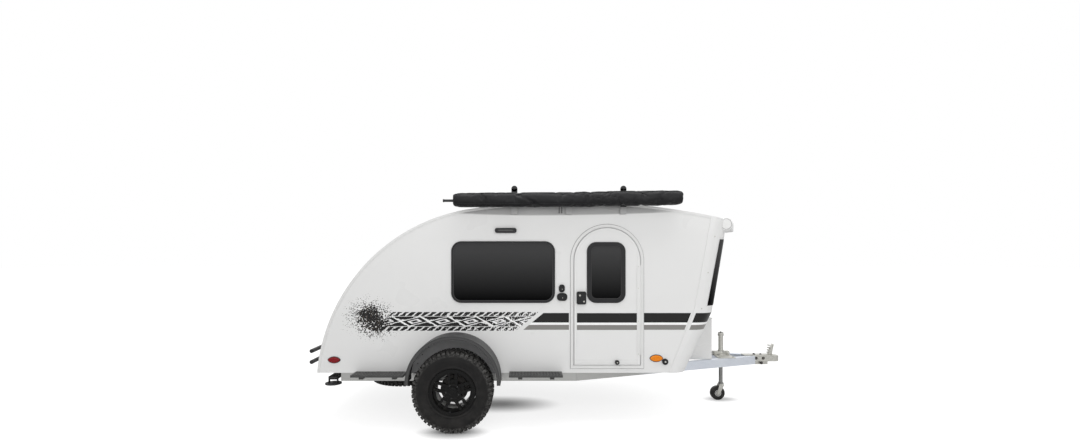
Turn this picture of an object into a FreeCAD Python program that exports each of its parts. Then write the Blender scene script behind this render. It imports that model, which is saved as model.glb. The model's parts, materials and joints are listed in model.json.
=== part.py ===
import FreeCAD
import Part
import math
import os
import re
import Sketcher

# Teardrop camping trailer. +X points forward to the coupler, +Z up, -Y is the kerb side with the awning.
# Lengths along X are given from the axle; every sub-part's Placement moves them into the part's frame.

doc = FreeCAD.newDocument("TeardropTrailer")

# ---------------------------------------------------------------- driving dimensions
# name, value in mm or a formula of the sheet, meaning
SIZES = [
    ("axle_x", -1018, "axle in the part's frame"),
    ("wheel_radius", 365, "tyre over its lugs"),
    ("wheel_y", "=body_half_width + 125", "centre plane of each wheel"),
    ("tyre_width", 226, "tyre over its shoulders"),
    ("tread_depth", 13, "height of the lugs"),
    ("lug_width", 40, "one lug along the tread"),
    ("lug_gap", 30, "groove between the two rings of lugs"),
    ("bead_radius", 190, "bead seat of the rim"),
    ("rim_radius", 208, "rim flange"),
    ("rim_width", 198, "rim over both flanges"),
    ("rim_wall", 6, "rolled wall of the rim"),
    ("rim_flange", 9, "flange along the axle"),
    ("hub_disc_radius", 74, "mounting disc of the rim"),
    ("cap_radius", 45, "centre cap"),
    ("spoke_width", 24, "one bar of a split spoke"),
    ("spoke_pitch", 62, "between the two bars of a split spoke"),
    ("spoke_depth", 30, "spoke along the axle"),
    ("drum_radius", 127, "brake drum"),
    ("drum_width", 62, "brake drum along the axle"),
    ("spindle_radius", 19, "wheel spindle"),
    ("bearing_clearance", 0.05, "hub bore over spindle"),
    ("body_half_width", 850, "outer face of each side wall"),
    ("wall_thickness", 32, "side wall sandwich panel"),
    ("body_bottom", 490, "underside of walls and floor"),
    ("floor_thickness", 30, "floor panel"),
    ("rear_radius", 1685, "teardrop's rear curve"),
    ("rear_centre_x", 389, ""),
    ("rear_centre_z", 353, ""),
    ("roof_radius", 6500, "roof's long curve"),
    ("roof_centre_x", 1076, "highest point of the roof"),
    ("roof_top", "=rear_centre_z + roof_radius - sqrt((roof_radius - rear_radius) ^ 2"
                 " - (roof_centre_x - rear_centre_x) ^ 2)", "crown of the roof"),
    ("shell_thickness", 30, "roof, hatch and rear panel"),
    ("hatch_top_x", -450, "hinge line of the rear hatch"),
    ("hatch_bottom", 880, "lower edge of the hatch"),
    ("hinge_length", 1400, "hinge of the hatch"),
    ("panel_gap", 7, "gap round doors and hatch"),
    ("seam_top_x", 2385, "joint of walls and front cap at the roof"),
    ("seam_mid_x", 2227, ""),
    ("seam_mid_z", 1085, ""),
    ("seam_bottom_x", 1990, ""),
    ("cap_half_width", "=body_half_width + 6", "moulded front cap, proud of the walls"),
    ("cap_thickness", 26, "cap with its lining"),
    ("cap_bottom_x", 2173, "front of the cap at the floor"),
    ("cap_break_x", 2432, "front of the cap at its knee"),
    ("cap_break_z", 1047, ""),
    ("cap_top_x", 2607, "front of the cap carried up to cap_top_z"),
    ("cap_top_z", 2100, ""),
    ("cap_corner", 150, "front corner radius in plan"),
    ("cap_ceiling_drop", 54, "hollow of the cap ends below the roof over it"),
    ("screen_bottom", 1116, "front window"),
    ("screen_drop", 189, "head of the front window below the roof over it"),
    ("screen_near_low_x", 2350, "end of the glass on the corner, at its foot"),
    ("screen_near_high_x", 2470, "and at its head"),
    ("screen_thickness", 4, ""),
    ("screen_lap", 45, "glass over the edge of its opening"),
    ("screen_half_width", "=body_half_width - 150", "opening behind the front window"),
    ("visor_reach_x", 2668, "front lip of the visor"),
    ("visor_half_width", "=cap_half_width - 41", ""),
    ("visor_root_x", 2520, "where the roof runs into the visor"),
    ("visor_height", 118, ""),
    ("visor_tube_radius", 48, "round ends of the visor"),
    ("visor_tube_x", 2535, ""),
    ("edge_trim", 24, "strip along the edge of each side wall"),
    ("edge_trim_proud", 4, ""),
    ("door_x", 1413, "middle of each door"),
    ("door_half_width", 306, "door slab"),
    ("door_bottom", 567, ""),
    ("door_arch_z", "=roof_top - 554.3", "centre of the door's arch"),
    ("door_trim", 35, "frame round the door"),
    ("door_proud", 10, "door slab over the wall"),
    ("door_window_z", "=door_arch_z - 107", ""),
    ("door_window_width", 360, ""),
    ("door_window_height", 567, ""),
    ("door_window_radius", 88, ""),
    ("window_x", 444, "side window"),
    ("window_z", "=roof_top - 657.8", ""),
    ("window_width", 968, ""),
    ("window_height", 575, ""),
    ("window_radius", 95, ""),
    ("window_frame", 20, "width of the frame"),
    ("window_proud", 10, "frame over the wall"),
    ("pane_thickness", 5, ""),
    ("fender_radius", 425, "outer arch"),
    ("fender_x", 5, ""),
    ("fender_z", 445, "centre of the arch"),
    ("fender_foot", 430, "lower ends of the arch"),
    ("fender_y", "=body_half_width + 242", "outer face of the lip"),
    ("fender_lip", 32, ""),
    ("fender_wall", 4, ""),
    ("rail_y", "=body_half_width - 50", "outer face of each frame rail"),
    ("rail_width", 50, ""),
    ("rail_height", 88, ""),
    ("rail_wall", 4, ""),
    ("rail_rear_x", "=rear_centre_x - sqrt(rear_radius ^ 2 - (body_bottom - rear_centre_z) ^ 2)"
                    " + 205", ""),
    ("rail_front_x", 1130, "where the tongue beams begin"),
    ("beam_front_x", 3150, "where the tongue beams end"),
    ("beam_front_y", 66, "outer face of the beams there"),
    ("step_top", 504, "running boards"),
    ("step_thickness", 20, ""),
    ("step_y", "=body_half_width + 165", "outer edge"),
    ("axle_beam_x", 120, "torsion axle ahead of the spindles"),
    ("axle_beam_z", 355, ""),
    ("axle_beam_size", 60, ""),
    ("arm_y", "=rail_y + 6", "outer face of the trailing arms"),
    ("arm_width", 36, ""),
    ("plate_y", "=body_half_width + 10", "outer face of the brake backing plate"),
    ("spare_x", -643, "spare wheel under the floor"),
    ("spare_top", 455, ""),
    ("bumper_standoff", 91, "rear bumper tubes behind the body"),
    ("bumper_low", 575, ""),
    ("bumper_high", 679, ""),
    ("bumper_radius", 19, ""),
    ("bumper_half_width", "=body_half_width - 70", ""),
    ("jack_x", 2800, "jack tube"),
    ("jack_top", 738, ""),
    ("jack_radius", 25, "outer tube"),
    ("jack_leg_radius", 20.5, "inner tube"),
    ("jack_clearance", 0.3, ""),
    ("caster_radius", 76, ""),
    ("caster_trail", 38, "caster wheel behind the jack tube"),
    ("caster_width", 50, ""),
    ("ball_x", 3370, "centre of the coupler's ball socket"),
    ("ball_z", 455, ""),
    ("ball_socket_radius", 25.7, "for a 50.8 mm ball"),
    ("coupler_nose", 57, "radius of the coupler's nose"),
    ("coupler_bottom", 430, ""),
    ("coupler_top", 490, ""),
    ("tongue_box_front", 2611, ""),
    ("tongue_box_top", 915, "body of the box, under its lid"),
    ("tongue_box_half_width", 250, ""),
    ("tongue_box_wall", 8, ""),
    ("tongue_box_gap", 26, "between the box and the front cap"),
    ("lid_height", 14, ""),
    ("awning_rear_x", -20, "awning bag"),
    ("awning_length", 2115, ""),
    ("awning_drop", 65, "underside of the bag below the top of the roof"),
    ("awning_height", 155, ""),
    ("awning_standoff", 29, "bag from the wall"),
    ("awning_depth", 148, ""),
    ("bracket_rise", 144, "awning brackets over the top of the roof"),
    ("bracket_half", 28, "half width of a bracket and radius of its head"),
    ("stabiliser_x", "=rail_rear_x - 73", "rear stabiliser legs"),
    ("stabiliser_pivot_y", 372, ""),
    ("stabiliser_foot_y", "=body_half_width - 55", ""),
    ("stabiliser_z", 432, ""),
    ("foot_radius", 75, ""),
    ("vent_x", 900, "roof vent"),
    ("vent_half", 180, ""),
    ("vent_height", 34, "vent frame over the roof"),
]

sheet = doc.addObject("Spreadsheet::Sheet", "Dims")
for row, (alias, value, meaning) in enumerate(SIZES, start=1):
    sheet.set(f"A{row}", alias)
    sheet.set(f"B{row}", str(value))
    sheet.set(f"C{row}", meaning)
    sheet.setAlias(f"B{row}", alias)
doc.recompute()
NAMES = {alias for alias, value, meaning in SIZES}

# sizes that follow from others, as expressions on the sheet
SPAN = "(roof_radius - rear_radius)"
RISE = "(roof_centre_x - rear_centre_x)"
ROOF_Z = "(roof_top - roof_radius)"
TANGENT_X = f"(rear_centre_x - rear_radius * {RISE} / {SPAN})"
TANGENT_Z = f"(rear_centre_z + rear_radius * sqrt(1 - ({RISE} / {SPAN}) ^ 2))"
RAIL_TOP = "body_bottom"
RAIL_BOTTOM = "(body_bottom - rail_height)"
WALL_INNER = "(body_half_width - wall_thickness)"
DOOR_FACE = "(body_half_width + door_proud)"
BUMPER_X = ("(rear_centre_x - sqrt(rear_radius ^ 2 - (bumper_low - rear_centre_z) ^ 2)"
            " - bumper_standoff)")
AWNING_INNER = "(body_half_width + awning_standoff)"
AWNING_BOTTOM = "(roof_top - awning_drop)"
VISOR_TOP = f"({ROOF_Z} + sqrt(roof_radius ^ 2 - (visor_root_x - roof_centre_x) ^ 2))"
SCREEN_TOP = f"({VISOR_TOP} - screen_drop)"
HUB_FACE = "(wheel_y - plate_y - 5 - drum_width)"
BEAM_SLOPE = "((rail_y - beam_front_y) / (beam_front_x - rail_front_x))"


# counts
FLATS = 24         # flats round a tyre, rim or drum, and lugs on each shoulder
CORNER_FLATS = 6   # flats round each front corner
SPOKES = 5
KNUCKLES = ("hatch", "roof", "hatch", "roof", "hatch")


# ---------------------------------------------------------------- helpers
def number(text):
    """Value of an expression on the sheet."""
    return float(sheet.evalExpression(str(text)))


def bound(text):
    """The same expression as seen from another object."""
    return re.sub(r"[a-z_]\w*", lambda m: "Dims." + m[0] if m[0] in NAMES else m[0], str(text))


def bind(target, prop, text):
    target.setExpression(prop, bound(text))


def rear_x(z, inset="0"):
    """X of the rear curve at a height, a given depth inside it."""
    return f"(rear_centre_x - sqrt((rear_radius - {inset}) ^ 2 - ({z} - rear_centre_z) ^ 2))"


def rear_z(x, inset="0"):
    return f"(rear_centre_z + sqrt((rear_radius - {inset}) ^ 2 - ({x} - rear_centre_x) ^ 2))"


def roof_z(x, inset="0"):
    return f"({ROOF_Z} + sqrt((roof_radius - {inset}) ^ 2 - ({x} - roof_centre_x) ^ 2))"


def new_body(name):
    body = doc.addObject("PartDesign::Body", name)
    body.Label = name
    return body


def place(target, x="axle_x", y="0", z="0"):
    for axis, text in (("x", x), ("y", y), ("z", z)):
        bind(target, f"Placement.Base.{axis}", text)
    return target


def draw(body, plane, offset, points):
    """Closed outline in a plane of the body. Each point is (x, y), or (x, y, radius, side) where the
    stretch after it is an arc: side is 1 with the centre on the left of the path, -1 on the right."""
    sketch = body.newObject("Sketcher::SketchObject", body.Name + "_sketch")
    support = [item for item in body.Origin.OriginFeatures if item.Role == plane][0]
    sketch.AttachmentSupport = [(support, "")]
    sketch.MapMode = "FlatFace"
    bind(sketch, "AttachmentOffset.Base.z", offset)
    corners = [FreeCAD.Vector(number(point[0]), number(point[1]), 0) for point in points]
    ends = []
    for index, point in enumerate(points):
        start, stop = corners[index], corners[(index + 1) % len(points)]
        if len(point) == 2:
            geo = sketch.addGeometry(Part.LineSegment(start, stop))
            ends.append((geo, 1, 2))
            continue
        radius, side = number(point[2]), point[3]
        chord = stop - start
        height = math.sqrt(max(radius ** 2 - chord.Length ** 2 / 4, 0))
        across = FreeCAD.Vector(-chord.y, chord.x, 0).normalize() * side
        centre = (start + stop) * 0.5 + across * height
        angles = [math.atan2(end.y - centre.y, end.x - centre.x) for end in (start, stop)]
        if side < 0:
            angles.reverse()
        circle = Part.Circle(centre, FreeCAD.Vector(0, 0, 1), radius)
        geo = sketch.addGeometry(Part.ArcOfCircle(circle, angles[0], angles[1]))
        ends.append((geo, 1, 2) if side > 0 else (geo, 2, 1))
        hold(sketch, Sketcher.Constraint("Radius", geo, radius), point[2])
    for index, point in enumerate(points):
        geo, first, last = ends[index]
        after = ends[(index + 1) % len(points)]
        sketch.addConstraint(Sketcher.Constraint("Coincident", geo, last, after[0], after[1]))
        hold(sketch, Sketcher.Constraint("DistanceX", geo, first, corners[index].x), point[0])
        hold(sketch, Sketcher.Constraint("DistanceY", geo, first, corners[index].y), point[1])
    return sketch


def hold(sketch, constraint, text):
    """Adds a constraint whose value follows an expression."""
    index = sketch.addConstraint(constraint)
    name = f"size{index}"
    sketch.renameConstraint(index, name)
    bind(sketch, f"Constraints.{name}", text)


def ring(body, plane, offset, centre, radius):
    """Circle in a plane of the body."""
    sketch = body.newObject("Sketcher::SketchObject", body.Name + "_circle")
    support = [item for item in body.Origin.OriginFeatures if item.Role == plane][0]
    sketch.AttachmentSupport = [(support, "")]
    sketch.MapMode = "FlatFace"
    bind(sketch, "AttachmentOffset.Base.z", offset)
    middle = FreeCAD.Vector(number(centre[0]), number(centre[1]), 0)
    geo = sketch.addGeometry(Part.Circle(middle, FreeCAD.Vector(0, 0, 1), number(radius)))
    hold(sketch, Sketcher.Constraint("DistanceX", geo, 3, middle.x), centre[0])
    hold(sketch, Sketcher.Constraint("DistanceY", geo, 3, middle.y), centre[1])
    hold(sketch, Sketcher.Constraint("Radius", geo, number(radius)), radius)
    return sketch


def rounded(x, y, width, height, radius):
    """Outline of a rectangle with round corners about a centre, counter-clockwise."""
    left, right = f"({x} - ({width}) / 2)", f"({x} + ({width}) / 2)"
    low, high = f"({y} - ({height}) / 2)", f"({y} + ({height}) / 2)"
    return [
        (f"{left} + {radius}", low), (f"{right} - {radius}", low, radius, 1),
        (right, f"{low} + {radius}"), (right, f"{high} - {radius}", radius, 1),
        (f"{right} - {radius}", high), (f"{left} + {radius}", high, radius, 1),
        (left, f"{high} - {radius}"), (left, f"{low} + {radius}", radius, 1),
    ]


def pad(body, sketch, length, middle=False):
    feature = body.newObject("PartDesign::Pad", body.Name + "_pad")
    feature.Profile = sketch
    feature.Midplane = middle
    bind(feature, "Length", length)
    return feature


def cut(body, sketch, length=None, forward=False, middle=False):
    """Pocket against the sketch's normal, along it, or to both sides; through all without a length."""
    feature = body.newObject("PartDesign::Pocket", body.Name + "_pocket")
    feature.Profile = sketch
    feature.Reversed = forward
    if length is None:
        feature.Type = "ThroughAll"
        feature.Midplane = True
    else:
        feature.Midplane = middle
        bind(feature, "Length", length)
    return feature


def revolve(body, sketch, axis, angle=360):
    feature = body.newObject("PartDesign::Revolution", body.Name + "_turned")
    feature.Profile = sketch
    feature.ReferenceAxis = (sketch, [axis])
    feature.Angle = angle
    return feature


def loft(body, sections, kind="AdditiveLoft"):
    feature = body.newObject("PartDesign::" + kind, body.Name + "_loft")
    feature.Profile = sections[0]
    feature.Sections = sections[1:]
    feature.Ruled = True
    return feature


def round_pattern(body, originals, count, axis="Y_Axis"):
    feature = body.newObject("PartDesign::PolarPattern", body.Name + "_round")
    feature.Originals = originals
    line = [item for item in body.Origin.OriginFeatures if item.Role == axis][0]
    feature.Axis = (line, [""])
    feature.Angle = 360
    feature.Occurrences = count
    body.Tip = feature
    return feature


def block(name, x, y, z):
    """Part box between (low, high) expressions along each axis."""
    box = doc.addObject("Part::Box", name)
    for prop, (low, high) in (("Length", x), ("Width", y), ("Height", z)):
        bind(box, prop, f"({high}) - ({low})")
    return place(box, x[0], y[0], z[0])


TURNS = {
    "x": FreeCAD.Rotation(FreeCAD.Vector(0, 1, 0), 90),
    "y": FreeCAD.Rotation(FreeCAD.Vector(1, 0, 0), -90),
    "z": FreeCAD.Rotation(),
}


def rod(name, axis, start, length, radius):
    """Part cylinder from a start point along +X, +Y or +Z."""
    cylinder = doc.addObject("Part::Cylinder", name)
    bind(cylinder, "Radius", radius)
    bind(cylinder, "Height", length)
    cylinder.Placement = FreeCAD.Placement(FreeCAD.Vector(), TURNS[axis])
    return place(cylinder, *start)


def disc(name, axis, start, length, radius):
    """Wide, short rod with flats in place of the round, which keep its mesh light."""
    prism = doc.addObject("Part::Prism", name)
    prism.Polygon = FLATS
    bind(prism, "Circumradius", radius)
    bind(prism, "Height", length)
    prism.Placement = FreeCAD.Placement(FreeCAD.Vector(), TURNS[axis])
    return place(prism, *start)


def join(name, pieces):
    fuse = doc.addObject("Part::MultiFuse", name)
    fuse.Shapes = pieces
    fuse.Label = name
    return fuse


def group(name, pieces):
    """One sub-part of several like solids that don't touch."""
    compound = doc.addObject("Part::Compound", name)
    compound.Links = pieces
    compound.Label = name
    return compound


def subtract(name, base, tool):
    difference = doc.addObject("Part::Cut", name)
    difference.Base = base
    difference.Tool = tool
    difference.Label = name
    return difference


def mirrored(name, source):
    """The same piece on the other side of the trailer."""
    copy = doc.addObject("Part::Mirroring", name)
    copy.Source = source
    copy.Normal = FreeCAD.Vector(0, 1, 0)
    copy.Label = name
    return copy


def both_sides(name, source):
    return group(name, [source, mirrored(name + "_left", source)])


def plate(name, outline, inner_y, thickness, holes=()):
    """Plate on the kerb side: outline in X and Z, from inner_y outwards."""
    body = new_body(name)
    pad(body, draw(body, "XZ_Plane", inner_y, outline), thickness)
    for hole in holes:
        cut(body, draw(body, "XZ_Plane", inner_y, hole))
    return body


# ---------------------------------------------------------------- chassis
def frame_rails():
    low, high = "rail_rear_x", "rail_front_x"
    tube = block("rail_tube", (low, high), ("-rail_y", "-rail_y + rail_width"), (RAIL_BOTTOM, RAIL_TOP))
    inside = block("rail_inside", (f"{low} - 1", f"{high} + 1"),
                   ("-rail_y + rail_wall", "-rail_y + rail_width - rail_wall"),
                   (f"{RAIL_BOTTOM} + rail_wall", f"{RAIL_TOP} - rail_wall"))
    return place(both_sides("frame_rails", subtract("rail_right", tube, inside)))


def frame_crossmembers():
    bars = []
    # rear face of each crossmember, from the axle
    for index, start in enumerate(("rail_rear_x", "-260", "250", "690", "rail_front_x - rail_width")):
        half = "(rail_y - rail_width)"
        bar = block(f"cross_bar{index}", (start, f"{start} + rail_width"), (f"-{half}", half),
                    (f"{RAIL_BOTTOM} + 8", RAIL_TOP))
        inside = block(f"cross_inside{index}", (f"{start} + rail_wall", f"{start} + rail_width - rail_wall"),
                       (f"-{half} - 1", f"{half} + 1"),
                       (f"{RAIL_BOTTOM} + 8 + rail_wall", f"{RAIL_TOP} - rail_wall"))
        bars.append(subtract(f"cross_tube{index}", bar, inside))
    return place(group("frame_crossmembers", bars))


def tongue_beams():
    body = new_body("tongue_beam_right")
    inward = f"rail_width * sqrt(1 + {BEAM_SLOPE} ^ 2)"
    outline = [
        ("rail_front_x", "-rail_y"), ("beam_front_x", "-beam_front_y"),
        ("beam_front_x", f"-beam_front_y + {inward}"), ("rail_front_x", f"-rail_y + {inward}"),
    ]
    pad(body, draw(body, "XY_Plane", RAIL_BOTTOM, outline), "rail_height")
    return place(both_sides("tongue_beams", body))


def coupler():
    shank = block("coupler_shank", ("beam_front_x", "ball_x"), ("-coupler_nose", "coupler_nose"),
                  ("coupler_bottom", "coupler_top"))
    nose = disc("coupler_nose_round", "z", ("ball_x", "0", "coupler_bottom"),
               "coupler_top - coupler_bottom", "coupler_nose")
    strap = block("coupler_strap", ("beam_front_x - 110", "ball_x"), ("-48", "48"),
                  ("coupler_top", "coupler_top + 8"))
    clamp = block("coupler_clamp", ("beam_front_x", "beam_front_x + 150"), ("-36", "36"),
                  ("coupler_bottom - 36", "coupler_bottom"))
    solid = join("coupler_solid", [shank, nose, strap, clamp])
    ball = doc.addObject("Part::Sphere", "coupler_ball")
    bind(ball, "Radius", "ball_socket_radius")
    place(ball, "ball_x", "0", "ball_z")
    mouth = rod("coupler_mouth", "z", ("ball_x", "0", "coupler_bottom - 1"),
                "ball_z - coupler_bottom + 1", "ball_socket_radius")
    return place(subtract("coupler", solid, join("coupler_hollow", [ball, mouth])))


def coupler_latch():
    body = new_body("coupler_latch")
    top = "coupler_top + 8"
    outline = [
        ("ball_x - 52", top), ("ball_x - 12", top), ("ball_x - 8", f"{top} + 40"),
        ("ball_x + 8", f"{top} + 108"), ("ball_x - 6", f"{top} + 118"), ("ball_x - 44", f"{top} + 46"),
    ]
    pad(body, draw(body, "XZ_Plane", "0", outline), "34", middle=True)
    return place(body)


def axle():
    half = "axle_beam_size / 2"
    beam = block("axle_tube", (f"axle_beam_x - {half}", f"axle_beam_x + {half}"),
                 ("-(arm_y - arm_width)", "arm_y - arm_width"),
                 (f"axle_beam_z - {half}", f"axle_beam_z + {half}"))
    pieces = [beam]
    for side, sign in (("right", "-"), ("left", "")):
        centre = f"{sign}(rail_y - rail_width / 2)"
        pieces.append(block("axle_hanger_" + side, ("axle_beam_x - 70", "axle_beam_x + 70"),
                            (f"{centre} - rail_width / 2", f"{centre} + rail_width / 2"),
                            (f"axle_beam_z + {half}", RAIL_BOTTOM)))
    arm = new_body("axle_arm")
    outer = "arm_y - arm_width"
    outline = [
        ("-12", "wheel_radius - 40"), ("axle_beam_x + 12", "axle_beam_z - 44"),
        ("axle_beam_x + 46", "axle_beam_z - 12"), ("axle_beam_x + 40", "axle_beam_z + 36"),
        ("axle_beam_x", "axle_beam_z + 46"), ("-16", "wheel_radius + 32"), ("-42", "wheel_radius"),
    ]
    pad(arm, draw(arm, "XZ_Plane", outer, outline), "arm_width")
    tip = "(plate_y + drum_width + 3)"
    spindle = rod("axle_spindle", "y", ("0", f"-{tip}", "wheel_radius"), f"{tip} - arm_y", "spindle_radius")
    backing = disc("axle_backing", "y", ("0", "-plate_y", "wheel_radius"), "4", "drum_radius")
    right = [arm, spindle, backing]
    pieces += right + [mirrored(piece.Name + "_left", piece) for piece in right]
    return place(join("axle", pieces))


def floor_pan():
    rear = rear_x("(body_bottom + floor_thickness)", "shell_thickness - 0.5")
    slab = block("floor_slab", (f"{rear} + 1", "seam_bottom_x"),
                 (f"-{WALL_INNER}", WALL_INNER), ("body_bottom", "body_bottom + floor_thickness"))
    return place(group("floor_pan", [slab]))


# ---------------------------------------------------------------- body shell
def arch_outline(extra):
    """Door outline with a round head, a given distance outside the slab."""
    half = f"(door_half_width + {extra})"
    return [
        (f"door_x - {half}", f"door_bottom - {extra}"), (f"door_x + {half}", f"door_bottom - {extra}"),
        (f"door_x + {half}", "door_arch_z", half, 1), ("door_x", f"door_arch_z + {half}", half, 1),
        (f"door_x - {half}", "door_arch_z"),
    ]


def window_outline(inset):
    return rounded("window_x", "window_z", f"window_width - 2 * {inset}", f"window_height - 2 * {inset}",
                   f"(window_radius - {inset})")


def door_window_outline(inset):
    return rounded("door_x - 10", "door_window_z", f"door_window_width - 2 * {inset}",
                   f"door_window_height - 2 * {inset}", f"(door_window_radius - {inset})")


def side_walls():
    outline = [
        ("seam_bottom_x", "body_bottom"), ("seam_mid_x", "seam_mid_z"),
        ("seam_top_x", roof_z("seam_top_x"), "roof_radius", 1), (TANGENT_X, TANGENT_Z, "rear_radius", 1),
        (rear_x("body_bottom"), "body_bottom"),
    ]
    wall = plate("side_wall_right", outline, WALL_INNER, "wall_thickness",
                 [arch_outline("panel_gap"), window_outline("14")])
    place(wall)
    return wall, mirrored("side_wall_left", wall)


def shell_between(name, outline):
    """Curved panel between the two side walls."""
    body = new_body(name)
    pad(body, draw(body, "XZ_Plane", "0", outline), f"2 * {WALL_INNER}", middle=True)
    return place(body)


def roof_shell():
    inner_tangent_x = f"(rear_centre_x - (rear_radius - shell_thickness) * {RISE} / {SPAN})"
    inner_tangent_z = f"(rear_centre_z + (rear_radius - shell_thickness) * sqrt(1 - ({RISE} / {SPAN}) ^ 2))"
    slope = f"(seam_top_x - seam_mid_x) / ({roof_z('seam_top_x')} - seam_mid_z)"
    seam_in = f"(seam_top_x - shell_thickness * {slope})"
    return shell_between("roof_shell", [
        (seam_in, roof_z(seam_in, "shell_thickness")),
        ("seam_top_x", roof_z("seam_top_x"), "roof_radius", 1),
        (TANGENT_X, TANGENT_Z, "rear_radius", 1),
        ("hatch_top_x", rear_z("hatch_top_x")),
        ("hatch_top_x", rear_z("hatch_top_x", "shell_thickness"), "rear_radius - shell_thickness", -1),
        (inner_tangent_x, inner_tangent_z, "roof_radius - shell_thickness", -1),
    ])


def rear_sector(name, top, bottom):
    """Stretch of the rear curve between a top (x, z, inner x, inner z) and a bottom height."""
    return shell_between(name, [
        (top[2], top[3]), (top[0], top[1], "rear_radius", 1),
        (rear_x(bottom), bottom),
        (rear_x(bottom, "shell_thickness"), bottom, "rear_radius - shell_thickness", -1),
    ])


def rear_panel():
    top = "hatch_bottom - panel_gap"
    return rear_sector("rear_panel", (rear_x(top), top, rear_x(top, "shell_thickness"), top), "body_bottom")


def rear_hatch():
    edge = "hatch_top_x - panel_gap"
    body = new_body("hatch_panel")
    half = f"({WALL_INNER} - panel_gap)"
    outline = [
        (edge, rear_z(edge, "shell_thickness")), (edge, rear_z(edge), "rear_radius", 1),
        (rear_x("hatch_bottom"), "hatch_bottom"),
        (rear_x("hatch_bottom", "shell_thickness"), "hatch_bottom", "rear_radius - shell_thickness", -1),
    ]
    pad(body, draw(body, "XZ_Plane", "0", outline), f"2 * {half}", middle=True)
    return place(body)


def bow(front, half, corner, back):
    """Plan of the front: straight sides from the back and corners of flats, each a sheet of the moulding."""
    turn = [math.radians(90 * step / CORNER_FLATS) for step in range(CORNER_FLATS + 1)]
    right = [(f"{front} - {corner} * {1 - math.sin(angle):.6f}",
              f"-{half} + {corner} * {1 - math.cos(angle):.6f}") for angle in turn]
    left = [(x, f"-({y})") for x, y in reversed(right)]
    return [(back, f"-{half}"), *right, *left, (back, half)]


def front_at(z):
    """X of the front face at a height; the face has a knee at cap_break_z."""
    low = f"cap_bottom_x + (cap_break_x - cap_bottom_x) * ({z} - body_bottom) / (cap_break_z - body_bottom)"
    high = f"cap_break_x + (cap_top_x - cap_break_x) * ({z} - cap_break_z) / (cap_top_z - cap_break_z)"
    return f"({low})" if number(z) < number("cap_break_z") else f"({high})"


def front_cap():
    body = new_body("front_cap")

    def section(z, front, inset, back):
        outline = bow(front, f"(cap_half_width - {inset})", f"(cap_corner - {inset})", back)
        return draw(body, "XY_Plane", z, outline)

    back = "seam_bottom_x - 60"
    loft(body, [section(z, front_at(z), "0", back) for z in ("body_bottom", "cap_break_z", "cap_top_z")])
    beyond = "cap_top_x + 200"
    cut(body, draw(body, "XZ_Plane", "0", [
        ("seam_bottom_x - 80", "body_bottom - 1"), ("seam_bottom_x", "body_bottom - 1"),
        ("seam_bottom_x", "body_bottom"), ("seam_mid_x", "seam_mid_z"),
        ("seam_top_x", roof_z("seam_top_x"), "roof_radius", -1), (beyond, roof_z(beyond)),
        (beyond, "cap_top_z + 50"), ("seam_bottom_x - 80", "cap_top_z + 50"),
    ]))
    add_visor(body)
    floor = "body_bottom + floor_thickness"
    hollow = [section(z, f"({front_at(z)} - cap_thickness)", "cap_thickness", "seam_bottom_x - 90")
              for z in (floor, "cap_break_z", f"{VISOR_TOP} - cap_ceiling_drop")]
    loft(body, hollow, "SubtractiveLoft")
    middle = f"(screen_bottom + {SCREEN_TOP}) / 2"
    height = f"({SCREEN_TOP} - screen_bottom - 2 * screen_lap)"
    opening = rounded("0", middle, "2 * screen_half_width", height, "40")
    cut(body, draw(body, "YZ_Plane", "seam_top_x - 60", opening), "400", forward=True)
    return place(body)


def add_visor(body):
    """Brow over the front window: a full middle and ends that narrow to a rounded tube."""
    def brow(y, lip_x, top, bottom, back_x):
        return draw(body, "XZ_Plane", y, [
            (back_x, f"{bottom} + 12"), (f"{lip_x} - 46", bottom), (f"{lip_x} - 6", f"{bottom} + 6"),
            (lip_x, f"{bottom} + 18"), (lip_x, f"{top} - 30"), (f"{lip_x} - 34", top), (back_x, f"{top} + 2"),
        ])
    low = f"({VISOR_TOP} - visor_height)"
    end = ("visor_reach_x - 92", f"{VISOR_TOP} - 10", f"({low} + 30)", "visor_root_x - 50")
    full = ("visor_reach_x", VISOR_TOP, low, "visor_root_x - 80")
    loft(body, [brow(y, *shape) for y, shape in (
        ("-visor_half_width", end), ("-visor_half_width + 150", full),
        ("visor_half_width - 150", full), ("visor_half_width", end))])
    centre = ("visor_tube_x", f"{VISOR_TOP} - visor_height / 2")
    for start in ("visor_half_width - 60", "-visor_half_width - 12"):
        pad(body, ring(body, "XZ_Plane", start, centre, "visor_tube_radius"), "72")


def front_window():
    body = new_body("front_window")
    gap = "0.3"

    def section(z, proud, back):
        return draw(body, "XY_Plane", z, bow(f"({front_at(z)} + {proud})", f"(cap_half_width + {proud})",
                                             f"(cap_corner + {proud})", back))
    heights = ("screen_bottom", SCREEN_TOP)
    loft(body, [section(z, f"({gap} + screen_thickness)", "2200") for z in heights])
    loft(body, [section(z, gap, "2190") for z in heights], "SubtractiveLoft")
    cut(body, draw(body, "XZ_Plane", "0", [
        ("2100", "screen_bottom - 5"), ("screen_near_low_x", "screen_bottom - 5"),
        ("screen_near_low_x", "screen_bottom"), ("screen_near_high_x", SCREEN_TOP),
        ("screen_near_high_x", f"{SCREEN_TOP} + 5"), ("2100", f"{SCREEN_TOP} + 5"),
    ]))
    return place(body)


def side_window_frames():
    frame = plate("window_frame_right", window_outline("0"), "body_half_width", "window_proud",
                  [window_outline("window_frame")])
    return place(both_sides("side_window_frames", frame))


def side_window_panes():
    pane = plate("window_pane_right", window_outline("window_frame"), "body_half_width",
                 "pane_thickness")
    return place(both_sides("side_window_panes", pane))


def door_trims():
    trim = plate("door_trim_right", arch_outline("door_trim"), "body_half_width", "8",
                 [arch_outline("panel_gap")])
    return place(both_sides("door_trims", trim))


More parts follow.
